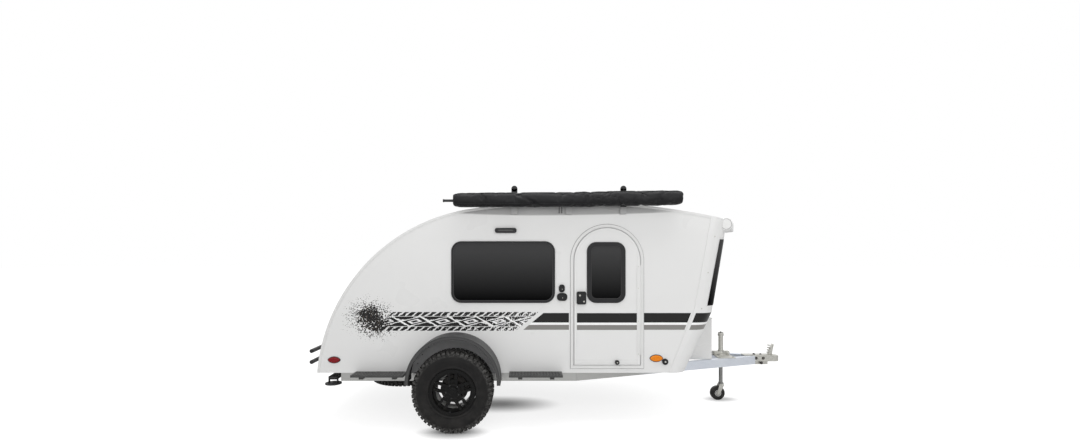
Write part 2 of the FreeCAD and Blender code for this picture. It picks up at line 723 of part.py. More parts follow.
def edge_trims():
    """Strip along the edge of each side wall, from the sill over the roof to the seam of the front cap."""
    def seam(inset):
        return f"(seam_top_x - {inset} * (seam_top_x - seam_mid_x) / ({roof_z('seam_top_x')} - seam_mid_z))"
    depth = "edge_trim"
    inner_x = f"(rear_centre_x - (rear_radius - {depth}) * {RISE} / {SPAN})"
    inner_z = f"(rear_centre_z + (rear_radius - {depth}) * sqrt(1 - ({RISE} / {SPAN}) ^ 2))"
    low = "(body_bottom + edge_trim_proud)"
    trim = plate("edge_trim_right", [
        (seam(depth), roof_z(seam(depth), depth)), (seam("0"), roof_z("seam_top_x"), "roof_radius", 1),
        (TANGENT_X, TANGENT_Z, "rear_radius", 1), (rear_x(low), low),
        (rear_x(low, depth), low, f"rear_radius - {depth}", -1),
        (inner_x, inner_z, f"roof_radius - {depth}", -1),
    ], "body_half_width", "edge_trim_proud")
    return place(both_sides("edge_trims", trim))


# ---------------------------------------------------------------- doors
def doors():
    slab = plate("door_panel_right", arch_outline("0"), f"{DOOR_FACE} - wall_thickness", "wall_thickness",
                 [door_window_outline("48")])
    place(slab)
    pane = place(plate("door_pane_right", door_window_outline("40"), DOOR_FACE, "pane_thickness"))
    frame = plate("door_frame_right", door_window_outline("0"), DOOR_FACE, "window_proud",
                  [door_window_outline("40")])
    latch = plate("door_latch_right", rounded("door_x - door_half_width + 65", "1190", "88", "119", "16"),
                  DOOR_FACE, "22")
    barrel_y = "(body_half_width + 8 + 5.3)"
    edge = "door_x + door_half_width + 9"
    barrel = rod("door_barrel_right", "z", (edge, f"-{barrel_y}", "659"), "836", "5")
    leaf = block("door_leaf_right", ("door_x + door_half_width - 30", edge),
                 (f"-{barrel_y} - 1", f"-{DOOR_FACE}"), ("659", "1495"))
    bumper = rod("door_bumper_right", "y", ("1503", f"-({DOOR_FACE} + 30)", "592"), "30", "20")
    hinge = join("door_hinge_right", [barrel, leaf])
    fittings = place(group("door_fittings_right", [frame, latch, hinge, bumper]))
    right = [slab, pane, fittings]
    left = [mirrored(piece.Label.replace("_right", "_left"), piece) for piece in right]
    return right + left


# ---------------------------------------------------------------- running gear
def steps(name, rows):
    """Discs about Y, fused, from rows of (start, end, radius)."""
    return join(name, [disc(f"{name}_step{index}", "y", ("0", start, "0"), f"({end}) - ({start})", radius)
                       for index, (start, end, radius) in enumerate(rows)])


def flat_ring(name, turn, profiles, width):
    """Ring of bars about Y: each (y, z) profile as wide as given along X, one bar to each flat."""
    body = new_body(name)
    body.AllowCompound = True
    bars = []
    for profile in profiles:
        sketch = draw(body, "YZ_Plane", "0", profile)
        base = sketch.AttachmentOffset.Base
        sketch.AttachmentOffset = FreeCAD.Placement(base, FreeCAD.Rotation(FreeCAD.Vector(1, 0, 0), turn))
        bars.append(pad(body, sketch, width, middle=True))
    round_pattern(body, bars, FLATS)
    return body


def tyre():
    """Carcass, open to the rim, with a ring of lugs on each shoulder, the second half a pitch on."""
    half, tip, base = "(tyre_width / 2)", "(wheel_radius - 0.6)", "(wheel_radius - tread_depth)"
    pitch, flange = 360 / FLATS, "(rim_width / 2 - rim_flange - 0.3)"
    bevels = [[
        (f"{sign}({half} - 30)", f"{base} - 1"), (f"{sign}{half}", f"{base} - 58"),
        (f"{sign}({half} + 2)", f"{base} - 58"), (f"{sign}({half} + 2)", f"{base} + 20"),
        (f"{sign}({half} - 30)", f"{base} + 20"),
    ] for sign in ("-", "")]
    blank = disc("tyre_blank", "y", ("0", f"-{half}", "0"), "tyre_width", base)
    shape = subtract("tyre_shape", blank, flat_ring("tyre_bevels", pitch / 2, bevels, "tyre_width"))
    hollow = steps("tyre_inside", [
        (f"-{half} - 1", f"-{flange}", "rim_radius + 1.5"),
        (f"-{half} - 1", f"{half} + 1", "bead_radius - 4"),
        (f"-{half} + 24", f"{half} - 24", f"{base} - 42"), (flange, f"{half} + 1", "rim_radius + 1.5"),
    ])
    lugs = [flat_ring(f"tyre_lugs{index}", turn, [[
        (f"{sign}lug_gap / 2", f"{base} - 14"), (f"{sign}({half} - 9)", f"{base} - 46"),
        (f"{sign}({half} - 19)", tip), (f"{sign}lug_gap / 2", tip),
    ]], "lug_width") for index, (sign, turn) in enumerate((("-", 0), ("", pitch / 2)))]
    return join("tyre", [subtract("tyre_carcass", shape, hollow), *lugs])


def split_spokes():
    """Five spokes, each two bars that rise from a web at the hub and part towards the rim."""
    body = new_body("rim_spokes")
    face, root = "-rim_width / 2 + 26", "(bead_radius - 4.3 - rim_wall / 2)"
    back = f"{face} + spoke_depth"
    bars = [pad(body, draw(body, "YZ_Plane", f"{sign}spoke_pitch / 2", [
        (face, root), (back, root), (f"{back} + 14", "34"), (f"{face} + 14", "34"),
    ]), "spoke_width", middle=True) for sign in ("-", "")]
    web = pad(body, draw(body, "YZ_Plane", "0", [
        (f"{face} + 16", "108"), (f"{back} + 8", "112"), (f"{back} + 14", "34"), (f"{face} + 22", "34"),
    ]), "spoke_pitch", middle=True)
    round_pattern(body, [*bars, web], SPOKES)
    return body


def rim():
    """Rim with its well, split spokes, mounting disc and centre cap; -Y is its outer side."""
    half, seat, well = "(rim_width / 2)", "(bead_radius - 4.3)", "(bead_radius - 26)"
    outside = steps("rim_outside", [
        (f"-{half}", f"-{half} + rim_flange", "rim_radius"), (f"-{half}", f"-{half} + 50", seat),
        (f"-{half} + 49", f"{half} - 49", well), (f"{half} - 50", half, seat),
        (f"{half} - rim_flange", half, "rim_radius"),
    ])
    inside = steps("rim_inside", [
        (f"-{half} - 1", f"-{half} + 44", f"{seat} - rim_wall"), (f"-{half}", half, f"{well} - rim_wall"),
        (f"{half} - 44", f"{half} + 1", f"{seat} - rim_wall"),
    ])
    middle = steps("rim_middle", [
        ("-66", HUB_FACE, "hub_disc_radius"), ("-78", "-60", "cap_radius"), ("-82", "-78", "cap_radius - 8"),
    ])
    return join("rim", [subtract("rim_barrel", outside, inside), split_spokes(), middle])


def hub(name, centre, turn):
    """Brake drum with its hub, bored for the spindle; -Y is its outer side."""
    start = ("0", HUB_FACE, "0")
    drum = disc(name + "_drum", "y", start, "drum_width", "drum_radius")
    hollow = disc(name + "_hollow", "y", ("0", f"{HUB_FACE} + 12", "0"), "drum_width", "drum_radius - 14")
    boss = disc(name + "_boss", "y", start, "drum_width", "34")
    bore = rod(name + "_bore", "y", ("0", f"{HUB_FACE} - 1", "0"), "drum_width + 2",
               "spindle_radius + bearing_clearance")
    solid = join(name + "_solid", [subtract(name + "_shell", drum, hollow), boss])
    return settle(subtract(name, solid, bore), centre, turn)


def settle(piece, centre, turn):
    piece.Placement = FreeCAD.Placement(FreeCAD.Vector(), turn)
    return place(piece, *centre)


AS_MADE = FreeCAD.Rotation()
ABOUT = FreeCAD.Rotation(FreeCAD.Vector(0, 0, 1), 180)
FACE_DOWN = FreeCAD.Rotation(FreeCAD.Vector(1, 0, 0), 90)


def wheels():
    """Both wheels and the spare under the floor, all with the same tyre and rim."""
    rubber, metal = tyre(), rim()
    spare = ("axle_x + spare_x", "0", "spare_top - tyre_width / 2")
    pieces = []
    # names of tyre and rim, centre, rotation
    for labels, centre, turn in (
            (("tyre_right", "rim_right"), ("axle_x", "-wheel_y", "wheel_radius"), AS_MADE),
            (("tyre_left", "rim_left"), ("axle_x", "wheel_y", "wheel_radius"), ABOUT),
            (("spare_tyre", "spare_rim"), spare, FACE_DOWN)):
        for label, piece in zip(labels, (rubber, metal)):
            pieces.append(settle(group(label, [piece]), centre, turn))
    pieces.append(hub("hub_right", ("axle_x", "-wheel_y", "wheel_radius"), AS_MADE))
    pieces.append(hub("hub_left", ("axle_x", "wheel_y", "wheel_radius"), ABOUT))
    return pieces


def spare_carrier():
    bar = block("carrier_bar", ("spare_x - 40", "spare_x + 40"),
                ("-rail_y + rail_width", "rail_y - rail_width"), ("body_bottom - 26", "body_bottom"))
    seat = f"(spare_top - tyre_width / 2 + {HUB_FACE})"
    post = rod("carrier_post", "z", ("spare_x", "0", seat), f"body_bottom - 20 - {seat}", "24")
    return place(join("spare_carrier", [bar, post]))


# ---------------------------------------------------------------- fenders, steps, bumper
def fenders():
    def arch(inset, foot):
        radius = f"(fender_radius - {inset})"
        return [
            (f"fender_x - {radius}", foot), (f"fender_x + {radius}", foot),
            (f"fender_x + {radius}", "fender_z", radius, 1), ("fender_x", f"fender_z + {radius}", radius, 1),
            (f"fender_x - {radius}", "fender_z"),
        ]
    body = new_body("fender_right")
    depth = "(fender_y - body_half_width)"
    pad(body, draw(body, "XZ_Plane", "body_half_width", arch("0", "fender_foot")), depth)
    inside = draw(body, "XZ_Plane", "body_half_width + 3", arch("fender_wall", "fender_foot - 10"))
    cut(body, inside, f"{depth} - 3 - fender_wall", forward=True)
    lip = draw(body, "XZ_Plane", "fender_y - fender_wall", arch("fender_lip", "fender_foot - 10"))
    cut(body, lip, "fender_wall + 1", forward=True)
    rear, front = "fender_x - fender_radius + 10", "fender_x + fender_radius - 10"
    foot = [
        (rear, "fender_foot - 5"), (front, "fender_foot - 5"), (front, "body_bottom"), (rear, "body_bottom"),
    ]
    cut(body, draw(body, "XZ_Plane", "body_half_width", foot), "4", forward=True)
    return place(both_sides("fenders", body))


def side_steps():
    boards = []
    # name, rear end, front end, x of each arm
    for name, rear, front, arms in (
            ("rear", "-928", "-450", ("-860", "-560")),
            ("front", "503", "990", ("585", "875"))):
        top = block(f"step_{name}_board", (rear, front), ("-step_y", "-body_half_width - 3"),
                    ("step_top - step_thickness", "step_top"))
        pieces = [top]
        for index, arm in enumerate(arms):
            pieces.append(block(f"step_{name}_arm{index}", (arm, f"{arm} + 40"), ("-step_y + 30", "-rail_y"),
                                ("step_top - step_thickness - 24", "step_top - step_thickness")))
        boards.append(join(f"step_{name}", pieces))
    boards += [mirrored(board.Name + "_left", board) for board in boards]
    return place(group("side_steps", boards))


def rear_bumper():
    pieces = []
    for name, height in (("low", "bumper_low"), ("high", "bumper_high")):
        pieces.append(rod("bumper_tube_" + name, "y", (BUMPER_X, "-bumper_half_width", height),
                          "2 * bumper_half_width", "bumper_radius"))
    arm = new_body("bumper_arm_right")
    outline = [
        ("rail_rear_x", f"{RAIL_BOTTOM} + 10"), ("rail_rear_x", "body_bottom - 6"),
        (f"{rear_x('body_bottom')} - 8", "body_bottom - 6"), (f"{BUMPER_X} + 26", "bumper_low - 26"),
        (f"{BUMPER_X} + 26", "bumper_high + 24"), (f"{BUMPER_X} - 12", "bumper_high + 24"),
        (f"{BUMPER_X} - 12", "bumper_low - 50"), (f"{rear_x('body_bottom')} + 130", f"{RAIL_BOTTOM} + 10"),
    ]
    pad(arm, draw(arm, "XZ_Plane", "280", outline), "10", middle=True)
    pieces += [arm, mirrored("bumper_arm_left", arm)]
    return place(join("rear_bumper", pieces))


# ---------------------------------------------------------------- tongue
def tongue_box():
    body = new_body("tongue_box")
    low, high = "body_bottom", "tongue_box_top"

    def back(z):
        slope = "(cap_break_x - cap_bottom_x) / (cap_break_z - body_bottom)"
        return f"(cap_bottom_x + tongue_box_gap + ({z} - body_bottom) * {slope})"
    pad(body, draw(body, "XZ_Plane", "0", [
        (back(low), low), ("tongue_box_front", low), ("tongue_box_front", high), (back(high), high),
    ]), "2 * tongue_box_half_width", middle=True)
    wall = "tongue_box_wall"
    cut(body, draw(body, "XZ_Plane", "0", [
        (f"{back(low)} + 2 * {wall}", f"{low} + {wall}"), (f"tongue_box_front - {wall}", f"{low} + {wall}"),
        (f"tongue_box_front - {wall}", f"{high} + 5"), (f"{back(high)} + 2 * {wall}", f"{high} + 5"),
    ]), f"2 * (tongue_box_half_width - {wall})", middle=True)
    lid = block("box_lid_panel", (f"{back(high)} - 4", "tongue_box_front + 6"),
                ("-tongue_box_half_width - 6", "tongue_box_half_width + 6"),
                (f"{high} + 0.3", f"{high} + lid_height"))
    return place(body), place(group("tongue_box_lid", [lid]))


def jack():
    low = f"({RAIL_BOTTOM} + 20)"
    tube = rod("jack_tube", "z", ("jack_x", "0", low), f"jack_top - {low}", "jack_radius")
    plate_low = block("jack_plate", ("jack_x - 90", "jack_x + 90"), ("-190", "190"),
                      (RAIL_TOP, f"{RAIL_TOP} + 8"))
    flange = disc("jack_flange", "z", ("jack_x", "0", f"{RAIL_TOP} + 8"), "12", "62")
    ears = block("jack_ears", ("jack_x - 88", "jack_x + 88"), ("-22", "22"),
                 (f"{RAIL_TOP} + 20", f"{RAIL_TOP} + 46"))
    head = rod("jack_head", "z", ("jack_x", "0", "jack_top - 26"), "26", "jack_radius + 5")
    solid = join("jack_solid", [tube, plate_low, flange, ears, head])
    bore = rod("jack_bore", "z", ("jack_x", "0", f"{low} - 1"), f"jack_top - 12 - {low} + 1",
               "jack_leg_radius + jack_clearance")
    mount = place(subtract("jack_mount", solid, bore))
    leg = rod("jack_leg_tube", "z", ("jack_x", "0", "2 * caster_radius + 26"),
              "600 - 2 * caster_radius - 26", "jack_leg_radius")
    collar = rod("jack_leg_collar", "z", ("jack_x", "0", "2 * caster_radius + 26"), "12",
                 "jack_leg_radius + 8")
    return [mount, place(join("jack_leg", [leg, collar]))] + caster()


def caster():
    cheek = new_body("caster_cheek_right")
    top = "(2 * caster_radius + 25.7)"
    outline = [
        ("jack_x - 24", f"{top} - 8"), ("jack_x - caster_trail - 20", "caster_radius - 10"),
        ("jack_x - caster_trail", "caster_radius - 20"), ("jack_x - caster_trail + 20", "caster_radius - 6"),
        ("jack_x + 26", f"{top} - 8"),
    ]
    pad(cheek, draw(cheek, "XZ_Plane", "caster_width / 2 + 4", outline), "4")
    crown = disc("caster_crown", "z", ("jack_x", "0", f"{top} - 8"), "8", "34")
    pin = rod("caster_pin", "y", ("jack_x - caster_trail", "-caster_width / 2 - 12", "caster_radius"),
              "caster_width + 24", "7")
    fork = place(join("jack_fork", [cheek, mirrored("caster_cheek_left", cheek), crown, pin]))
    wheel = disc("caster_tread", "y", ("jack_x - caster_trail", "-caster_width / 2", "caster_radius"),
                "caster_width", "caster_radius")
    hole = rod("caster_hole", "y", ("jack_x - caster_trail", "-caster_width", "caster_radius"),
               "2 * caster_width", "7.05")
    return [fork, place(subtract("jack_wheel", wheel, hole))]


# ---------------------------------------------------------------- awning
def awning():
    bag = new_body("awning_bag")
    middle = f"-({AWNING_INNER} + awning_depth / 2)"
    outline = rounded(middle, f"{AWNING_BOTTOM} + awning_height / 2", "awning_depth", "awning_height", "48")
    pad(bag, draw(bag, "YZ_Plane", "awning_rear_x", outline), "awning_length")
    brackets, top = [], "(roof_top + bracket_rise)"
    for index, x in enumerate(("550", "1055", "1561")):
        width = (f"{x} - bracket_half", f"{x} + bracket_half")
        stem = block(f"awning_stem{index}", width, (f"-{AWNING_INNER}", f"-{AWNING_INNER} + 8"),
                     (f"{AWNING_BOTTOM} - 54", f"{top} - bracket_half"))
        head = rod(f"awning_head{index}", "y", (x, f"-{AWNING_INNER}", f"{top} - bracket_half"), "8",
                   "bracket_half")
        foot = block(f"awning_foot{index}", width, (f"-{AWNING_INNER} + 8", "-body_half_width"),
                     (f"{AWNING_BOTTOM} - 54", f"{AWNING_BOTTOM} - 14"))
        brackets.append(join(f"awning_bracket{index}", [stem, head, foot]))
    pole = rod("awning_pole", "x", ("awning_rear_x - 80", middle, f"{AWNING_BOTTOM} + 62"), "80", "14")
    return place(bag), place(group("awning_brackets", brackets + [pole]))


# ---------------------------------------------------------------- lamps and ports
def lamps_and_ports():
    pieces = []
    face, cap_face = "body_half_width", "cap_half_width"
    # label, x, z, width, height, corner, inner y, depth
    for label, x, z, width, height, corner, inner, depth in (
            ("red_markers", f"{rear_x('611')} + 145", "611", "109", "52", "23", face, "14"),
            ("amber_markers", "1872", "626", "115", "58", "25", face, "14"),
            ("porch_lights", "469", "roof_top - 270", "202", "46", "20", face, "24")):
        one = plate(label + "_right", rounded(x, z, width, height, corner), inner, depth)
        pieces.append(place(both_sides(label, one)))
    ports = [plate(f"port{index}", rounded(x, z, width, height, corner), face, "16")
             for index, (x, z, width, height, corner) in enumerate((
                 ("991", "1278", "55", "72", "25"), ("994", "1198", "97", "72", "32")))]
    ports.append(rod("port_round", "y", ("1953", f"-{face} - 18", "595"), "18", "28"))
    pieces.append(place(group("service_ports", ports)))
    return pieces


def tail_lamps():
    low, high, depth = "760", "820", "22"
    lamp = new_body("tail_lamp_right")
    pad(lamp, draw(lamp, "XZ_Plane", "545", [
        (rear_x(high), high, "rear_radius", 1), (rear_x(low), low),
        (f"{rear_x(low)} - {depth}", f"{low} + 4"), (f"{rear_x(high)} - {depth}", f"{high} - 4"),
    ]), "150")
    return place(both_sides("tail_lamps", lamp))


def roof_vent():
    """Low frame that follows the roof, and its lid."""
    rear, front = "(vent_x - vent_half)", "(vent_x + vent_half)"
    top = f"({roof_z('vent_x')} + vent_height)"
    frame = new_body("roof_vent")
    pad(frame, draw(frame, "XZ_Plane", "0", [
        (front, roof_z(front)), (front, top), (rear, top), (rear, roof_z(rear), "roof_radius", -1),
    ]), "2 * vent_half", middle=True)
    opening = "2 * vent_half - 40"
    cut(frame, draw(frame, "XY_Plane", top, rounded("vent_x", "0", opening, opening, "20")))
    lid = block("vent_cover", (f"{rear} - 10", f"{front} + 10"), ("-vent_half - 10", "vent_half + 10"),
                (f"{top} + 0.3", f"{top} + 22"))
    return place(frame), place(group("vent_lid", [lid]))


def stabilisers():
    half = "36"
    mount = block("stabiliser_plate", ("stabiliser_x - 50", "stabiliser_x + 50"),
                  ("-stabiliser_pivot_y - 40", "-stabiliser_pivot_y + 60"),
                  ("body_bottom - 8", "body_bottom"))
    cheeks = [block(f"stabiliser_cheek{index}", (x, f"{x} + 6"),
                    ("-stabiliser_pivot_y - 30", "-stabiliser_pivot_y + 30"),
                    ("stabiliser_z - 25", "body_bottom - 8"))
              for index, x in enumerate(("stabiliser_x - 48", "stabiliser_x + 42"))]
    pin = rod("stabiliser_pin", "x", ("stabiliser_x - 48", "-stabiliser_pivot_y", "stabiliser_z"), "96", "8")
    mounts = place(both_sides("stabiliser_mounts", join("stabiliser_mount", [mount, *cheeks, pin])))
    near, far = f"stabiliser_x - {half}", f"stabiliser_x + {half}"
    turns = ("-stabiliser_foot_y", "-stabiliser_pivot_y")
    arm = block("stabiliser_arm", (near, far),
                ("-stabiliser_foot_y", "-stabiliser_pivot_y"), ("stabiliser_z - 18", "stabiliser_z + 18"))
    ends = [rod(f"stabiliser_end{index}", "x", (near, y, "stabiliser_z"), f"2 * {half}", "18")
            for index, y in enumerate(turns)]
    holes = [rod(f"stabiliser_hole{index}", "x", (f"{near} - 1", y, "stabiliser_z"), f"2 * {half} + 2",
                 "8.05") for index, y in enumerate(turns)]
    leg = place(subtract("stabiliser_leg_right", join("stabiliser_bar", [arm, *ends]),
                         join("stabiliser_bores", holes)))
    sole = disc("stabiliser_disc", "z", ("stabiliser_x", turns[0], "stabiliser_z - 58"), "12", "foot_radius")
    ears = [block(f"stabiliser_ear{index}", (x, f"{x} + 6"), (f"{turns[0]} - 16", f"{turns[0]} + 16"),
                  ("stabiliser_z - 46", "stabiliser_z + 14"))
            for index, x in enumerate((f"{near} - 6.5", f"{far} + 0.5"))]
    foot_pin = rod("stabiliser_foot_pin", "x", (f"{near} - 6.5", turns[0], "stabiliser_z"),
                   f"2 * {half} + 13", "8")
    foot = place(join("stabiliser_foot_right", [sole, *ears, foot_pin]))
    return [mounts, leg, mirrored("stabiliser_leg_left", leg), foot, mirrored("stabiliser_foot_left", foot)]


def hatch_hinge():
    """Long hinge on the outside of the shell: knuckles turn by turn on the hatch and on the roof."""
    edge, out = "(hatch_top_x - panel_gap / 2)", "(1 + 6.3 / rear_radius)"
    pin_x = f"(rear_centre_x + ({edge} - rear_centre_x) * {out})"
    pin_z = f"(rear_centre_z + ({rear_z(edge)} - rear_centre_z) * {out})"
    step, half = f"(hinge_length / {len(KNUCKLES)})", "hinge_length / 2"
    sides = {}
    leaves = (("hatch", "(hatch_top_x - panel_gap - 6)", "-44"), ("roof", "(hatch_top_x + 1)", "44"))
    for name, near, width in leaves:
        far = f"({near} + {width})"
        leaf = new_body(f"{name}_leaf")
        ends = (near, far) if name == "hatch" else (far, near)
        pad(leaf, draw(leaf, "XZ_Plane", "0", [
            (ends[0], rear_z(ends[0], "-2"), "rear_radius + 2", 1), (ends[1], rear_z(ends[1], "-2")),
            (ends[1], rear_z(ends[1]), "rear_radius", -1), (ends[0], rear_z(ends[0])),
        ]), "hinge_length", middle=True)
        sides[name] = [leaf]
    for index, name in enumerate(KNUCKLES):
        start = f"{index} * {step} - {half} + 0.5"
        sides[name].append(rod(f"{name}_knuckle{index}", "y", (pin_x, start, pin_z), f"{step} - 1", "6"))
        foot = "(hatch_top_x + 14)" if name == "roof" else "(hatch_top_x - panel_gap - 14)"
        web = new_body(f"{name}_web{index}")
        pad(web, draw(web, "XZ_Plane", f"{half} - {index + 1} * {step} + 0.5", [
            (pin_x, f"{pin_z} - 4"), (foot, rear_z(foot)), (foot, rear_z(foot, "-2")),
            (pin_x, f"{pin_z} + 5"),
        ]), f"{step} - 1")
        sides[name].append(web)
    bore = rod("hatch_pin_bore", "y", (pin_x, f"-{half} - 1", pin_z), "hinge_length + 2", "3.05")
    pin = rod("hatch_pin", "y", (pin_x, f"-{half}", pin_z), "hinge_length", "3")
    moving = place(subtract("hatch_hinge", join("hatch_hinge_solid", sides["hatch"]), bore))
    return moving, place(join("hatch_hinge_base", sides["roof"] + [pin]))


# ---------------------------------------------------------------- build and write
PARTS = [
    frame_rails(), frame_crossmembers(), tongue_beams(), coupler(), coupler_latch(), axle(), floor_pan(),
    *side_walls(), roof_shell(), rear_panel(), rear_hatch(), *hatch_hinge(), front_cap(), front_window(),
    side_window_frames(), side_window_panes(), door_trims(), edge_trims(), *doors(), *wheels(),
    spare_carrier(), fenders(), side_steps(), rear_bumper(), *tongue_box(), *jack(), *awning(),
    *lamps_and_ports(), tail_lamps(), *roof_vent(), *stabilisers(),
]
doc.recompute()

broken = [item.Label for item in doc.Objects if {"Invalid", "Error"} & set(item.State)]
assert not broken, f"not computed: {broken}"
os.makedirs("parts", exist_ok=True)
for part in PARTS:
    shape = part.Shape
    assert not shape.isNull() and shape.isValid() and shape.Volume > 0, part.Label
    shape.exportStep(f"parts/{part.Label}.step")
    box = shape.BoundBox
    print(f"{part.Label:24s} solids {len(shape.Solids)} x {box.XMin:8.1f} {box.XMax:8.1f} "
          f"y {box.YMin:8.1f} {box.YMax:8.1f} z {box.ZMin:7.1f} {box.ZMax:7.1f} V {shape.Volume / 1e6:8.2f}")
print(len(PARTS), "sub-parts")
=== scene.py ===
import json
import math
import random

import bpy
import bmesh
from mathutils import Matrix, Vector
from mathutils.bvhtree import BVHTree


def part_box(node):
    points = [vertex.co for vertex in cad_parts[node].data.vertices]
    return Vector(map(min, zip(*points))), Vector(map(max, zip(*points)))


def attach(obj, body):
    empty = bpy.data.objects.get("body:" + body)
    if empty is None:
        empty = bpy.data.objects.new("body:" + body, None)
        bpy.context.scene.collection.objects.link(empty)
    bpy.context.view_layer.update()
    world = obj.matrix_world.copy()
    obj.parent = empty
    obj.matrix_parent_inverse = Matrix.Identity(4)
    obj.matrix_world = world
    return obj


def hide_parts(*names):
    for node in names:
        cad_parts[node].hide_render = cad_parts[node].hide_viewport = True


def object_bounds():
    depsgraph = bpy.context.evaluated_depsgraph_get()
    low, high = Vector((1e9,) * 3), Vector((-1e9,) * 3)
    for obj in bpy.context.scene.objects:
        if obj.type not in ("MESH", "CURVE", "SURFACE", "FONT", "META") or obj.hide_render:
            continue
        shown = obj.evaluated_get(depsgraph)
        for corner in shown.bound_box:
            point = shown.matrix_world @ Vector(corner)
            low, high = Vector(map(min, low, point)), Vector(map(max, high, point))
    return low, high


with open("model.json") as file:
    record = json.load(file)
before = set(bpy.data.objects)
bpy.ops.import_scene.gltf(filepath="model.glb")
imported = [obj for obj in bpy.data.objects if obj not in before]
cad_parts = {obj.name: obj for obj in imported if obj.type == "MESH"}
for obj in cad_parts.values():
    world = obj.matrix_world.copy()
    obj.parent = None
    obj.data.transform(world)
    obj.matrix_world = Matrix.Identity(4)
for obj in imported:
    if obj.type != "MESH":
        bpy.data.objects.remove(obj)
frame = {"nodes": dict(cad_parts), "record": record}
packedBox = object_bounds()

random.seed(41)
scene = bpy.context.scene


def middle(node):
    low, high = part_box(node)
    return (low + high) / 2


wheelCentre = middle("tyre_right")
axleX = wheelCentre.x
doorX = middle("door_panel_right").x
bagLow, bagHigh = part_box("awning_bag")
bagMiddle = middle("awning_bag")


def fromAxle(metres):
    return axleX + metres


# ---- camera, floor and light
camera = {"ahead": 0.648, "side": -5.592, "height": 1.5886, "lens": 16.95, "shift": (0.0139, 0.0324)}
# watts of the lamps, strength of the sky, and the floor's two greys: as it lights the trailer,
# and as it is seen
light = {"sky": 0.70, "overhead": 110.0, "front": 95.0, "rear": 60.0, "floor": (0.80, 0.80, 0.80, 1),
         "floorSeen": (0.42, 0.42, 0.42, 1), "floorGlow": 0.80}
# painted contact shadows on the floor: middle and half size from the axle, and weight
paintedShadows = (((0.36, -0.17), (0.70, 0.34), 0.85), ((0.0, -1.05), (0.36, 0.21), 1.0),
          ((2.81, 0.02), (0.24, 0.13), 0.7))


# ---- node helpers
class Signal:
    # what a node puts out; a sign such as + or > between signals adds a Math node
    def __init__(self, tree, socket):
        self.tree, self.socket = tree, socket

    def __abs__(self):
        return calc("ABSOLUTE", self)


def feed(socket, value):
    if isinstance(value, Signal):
        value.tree.links.new(value.socket, socket)
    else:
        socket.default_value = value


def addNode(tree, kind, inputs=None, **settings):
    # returns what the node puts out, by number and by name
    node = tree.nodes.new(kind)
    for key, value in settings.items():
        setattr(node, key, value)
    for key, value in (inputs or {}).items():
        feed(node.inputs[key], value)
    found = {}
    for index, socket in enumerate(node.outputs):
        found[index] = found[socket.name] = Signal(tree, socket)
    return found


def calc(operation, first, second=0.0):
    tree = (first if isinstance(first, Signal) else second).tree
    return addNode(tree, "ShaderNodeMath", {0: first, 1: second}, operation=operation)[0]


signs = {"add": "ADD", "sub": "SUBTRACT", "mul": "MULTIPLY", "truediv": "DIVIDE", "pow": "POWER",
         "gt": "GREATER_THAN", "lt": "LESS_THAN", "and": "MULTIPLY", "or": "MAXIMUM"}
for sign, operation in signs.items():
    setattr(Signal, f"__{sign}__", lambda a, b, operation=operation: calc(operation, a, b))
    setattr(Signal, f"__r{sign}__", lambda a, b, operation=operation: calc(operation, b, a))


def between(value, low, high):
    return (value > low) & (value < high)


def mixColor(factor, first, second):
    return addNode(factor.tree, "ShaderNodeMix", {0: factor, 6: first, 7: second}, data_type="RGBA")[2]


def remap(value, fromLow, fromHigh, toLow=0.0, toHigh=1.0):
    return addNode(value.tree, "ShaderNodeMapRange", {
        "Value": value, "From Min": fromLow, "From Max": fromHigh, "To Min": toLow, "To Max": toHigh})[0]


def split(place):
    return addNode(place.tree, "ShaderNodeSeparateXYZ", {0: place})


def firstPart(color):
    return addNode(color.tree, "ShaderNodeSeparateColor", {0: color})[0]


def noise(place, scale, detail, **more):
    inputs = {"Vector": place, "Scale": scale, "Detail": detail, **more}
    return addNode(place.tree, "ShaderNodeTexNoise", inputs)[0]


def cells(place, scale, loose=1.0, **settings):
    return addNode(place.tree, "ShaderNodeTexVoronoi", {"Vector": place, "Scale": scale, "Randomness": loose},
                   **settings)


def waves(place, scale, direction, **more):
    return addNode(place.tree, "ShaderNodeTexWave", {"Vector": place, "Scale": scale, **more},
                   wave_type="BANDS", bands_direction=direction)["Fac"]


def newGroup(name, inputs, outputs):
    group = bpy.data.node_groups.new(name, "ShaderNodeTree")
    for way, sockets in (("INPUT", inputs), ("OUTPUT", outputs)):
        for label, kind in sockets.items():
            group.interface.new_socket(label, in_out=way, socket_type="NodeSocket" + kind)
    given = {socket.name: Signal(group, socket) for socket in group.nodes.new("NodeGroupInput").outputs}
    return group, given, group.nodes.new("NodeGroupOutput").inputs


def useGroup(group, **values):
    tree = values["Vector"].tree
    node = tree.nodes.new("ShaderNodeGroup")
    node.node_tree = group
    for key, value in values.items():
        feed(node.inputs[key], value)
    return {socket.name: Signal(tree, socket) for socket in node.outputs}


# ---- shared effects
def makeGrain():
    # fine two-scale relief of moulded and powder-coated surfaces
    group, given, result = newGroup("fineGrain", {"Vector": "Vector", "Scale": "Float"},
                                    {"Height": "Float", "Cloud": "Float"})
    fine = noise(given["Vector"], given["Scale"], 4.0, Roughness=0.6)
    feed(result["Height"], fine + cells(given["Vector"], given["Scale"])["Distance"] * 0.4)
    feed(result["Cloud"], noise(given["Vector"], 2.3, 3.0))
    return group


def makeTone():
    # slow drift between two close colours
    group, given, result = newGroup(
        "toneDrift", {"Vector": "Vector", "Scale": "Float", "First": "Color", "Second": "Color"},
        {"Color": "Color"})
    factor = remap(noise(given["Vector"], given["Scale"], 3.0, Roughness=0.5), 0.2, 0.8)
    feed(result["Color"], mixColor(factor, given["First"], given["Second"]))
    return group


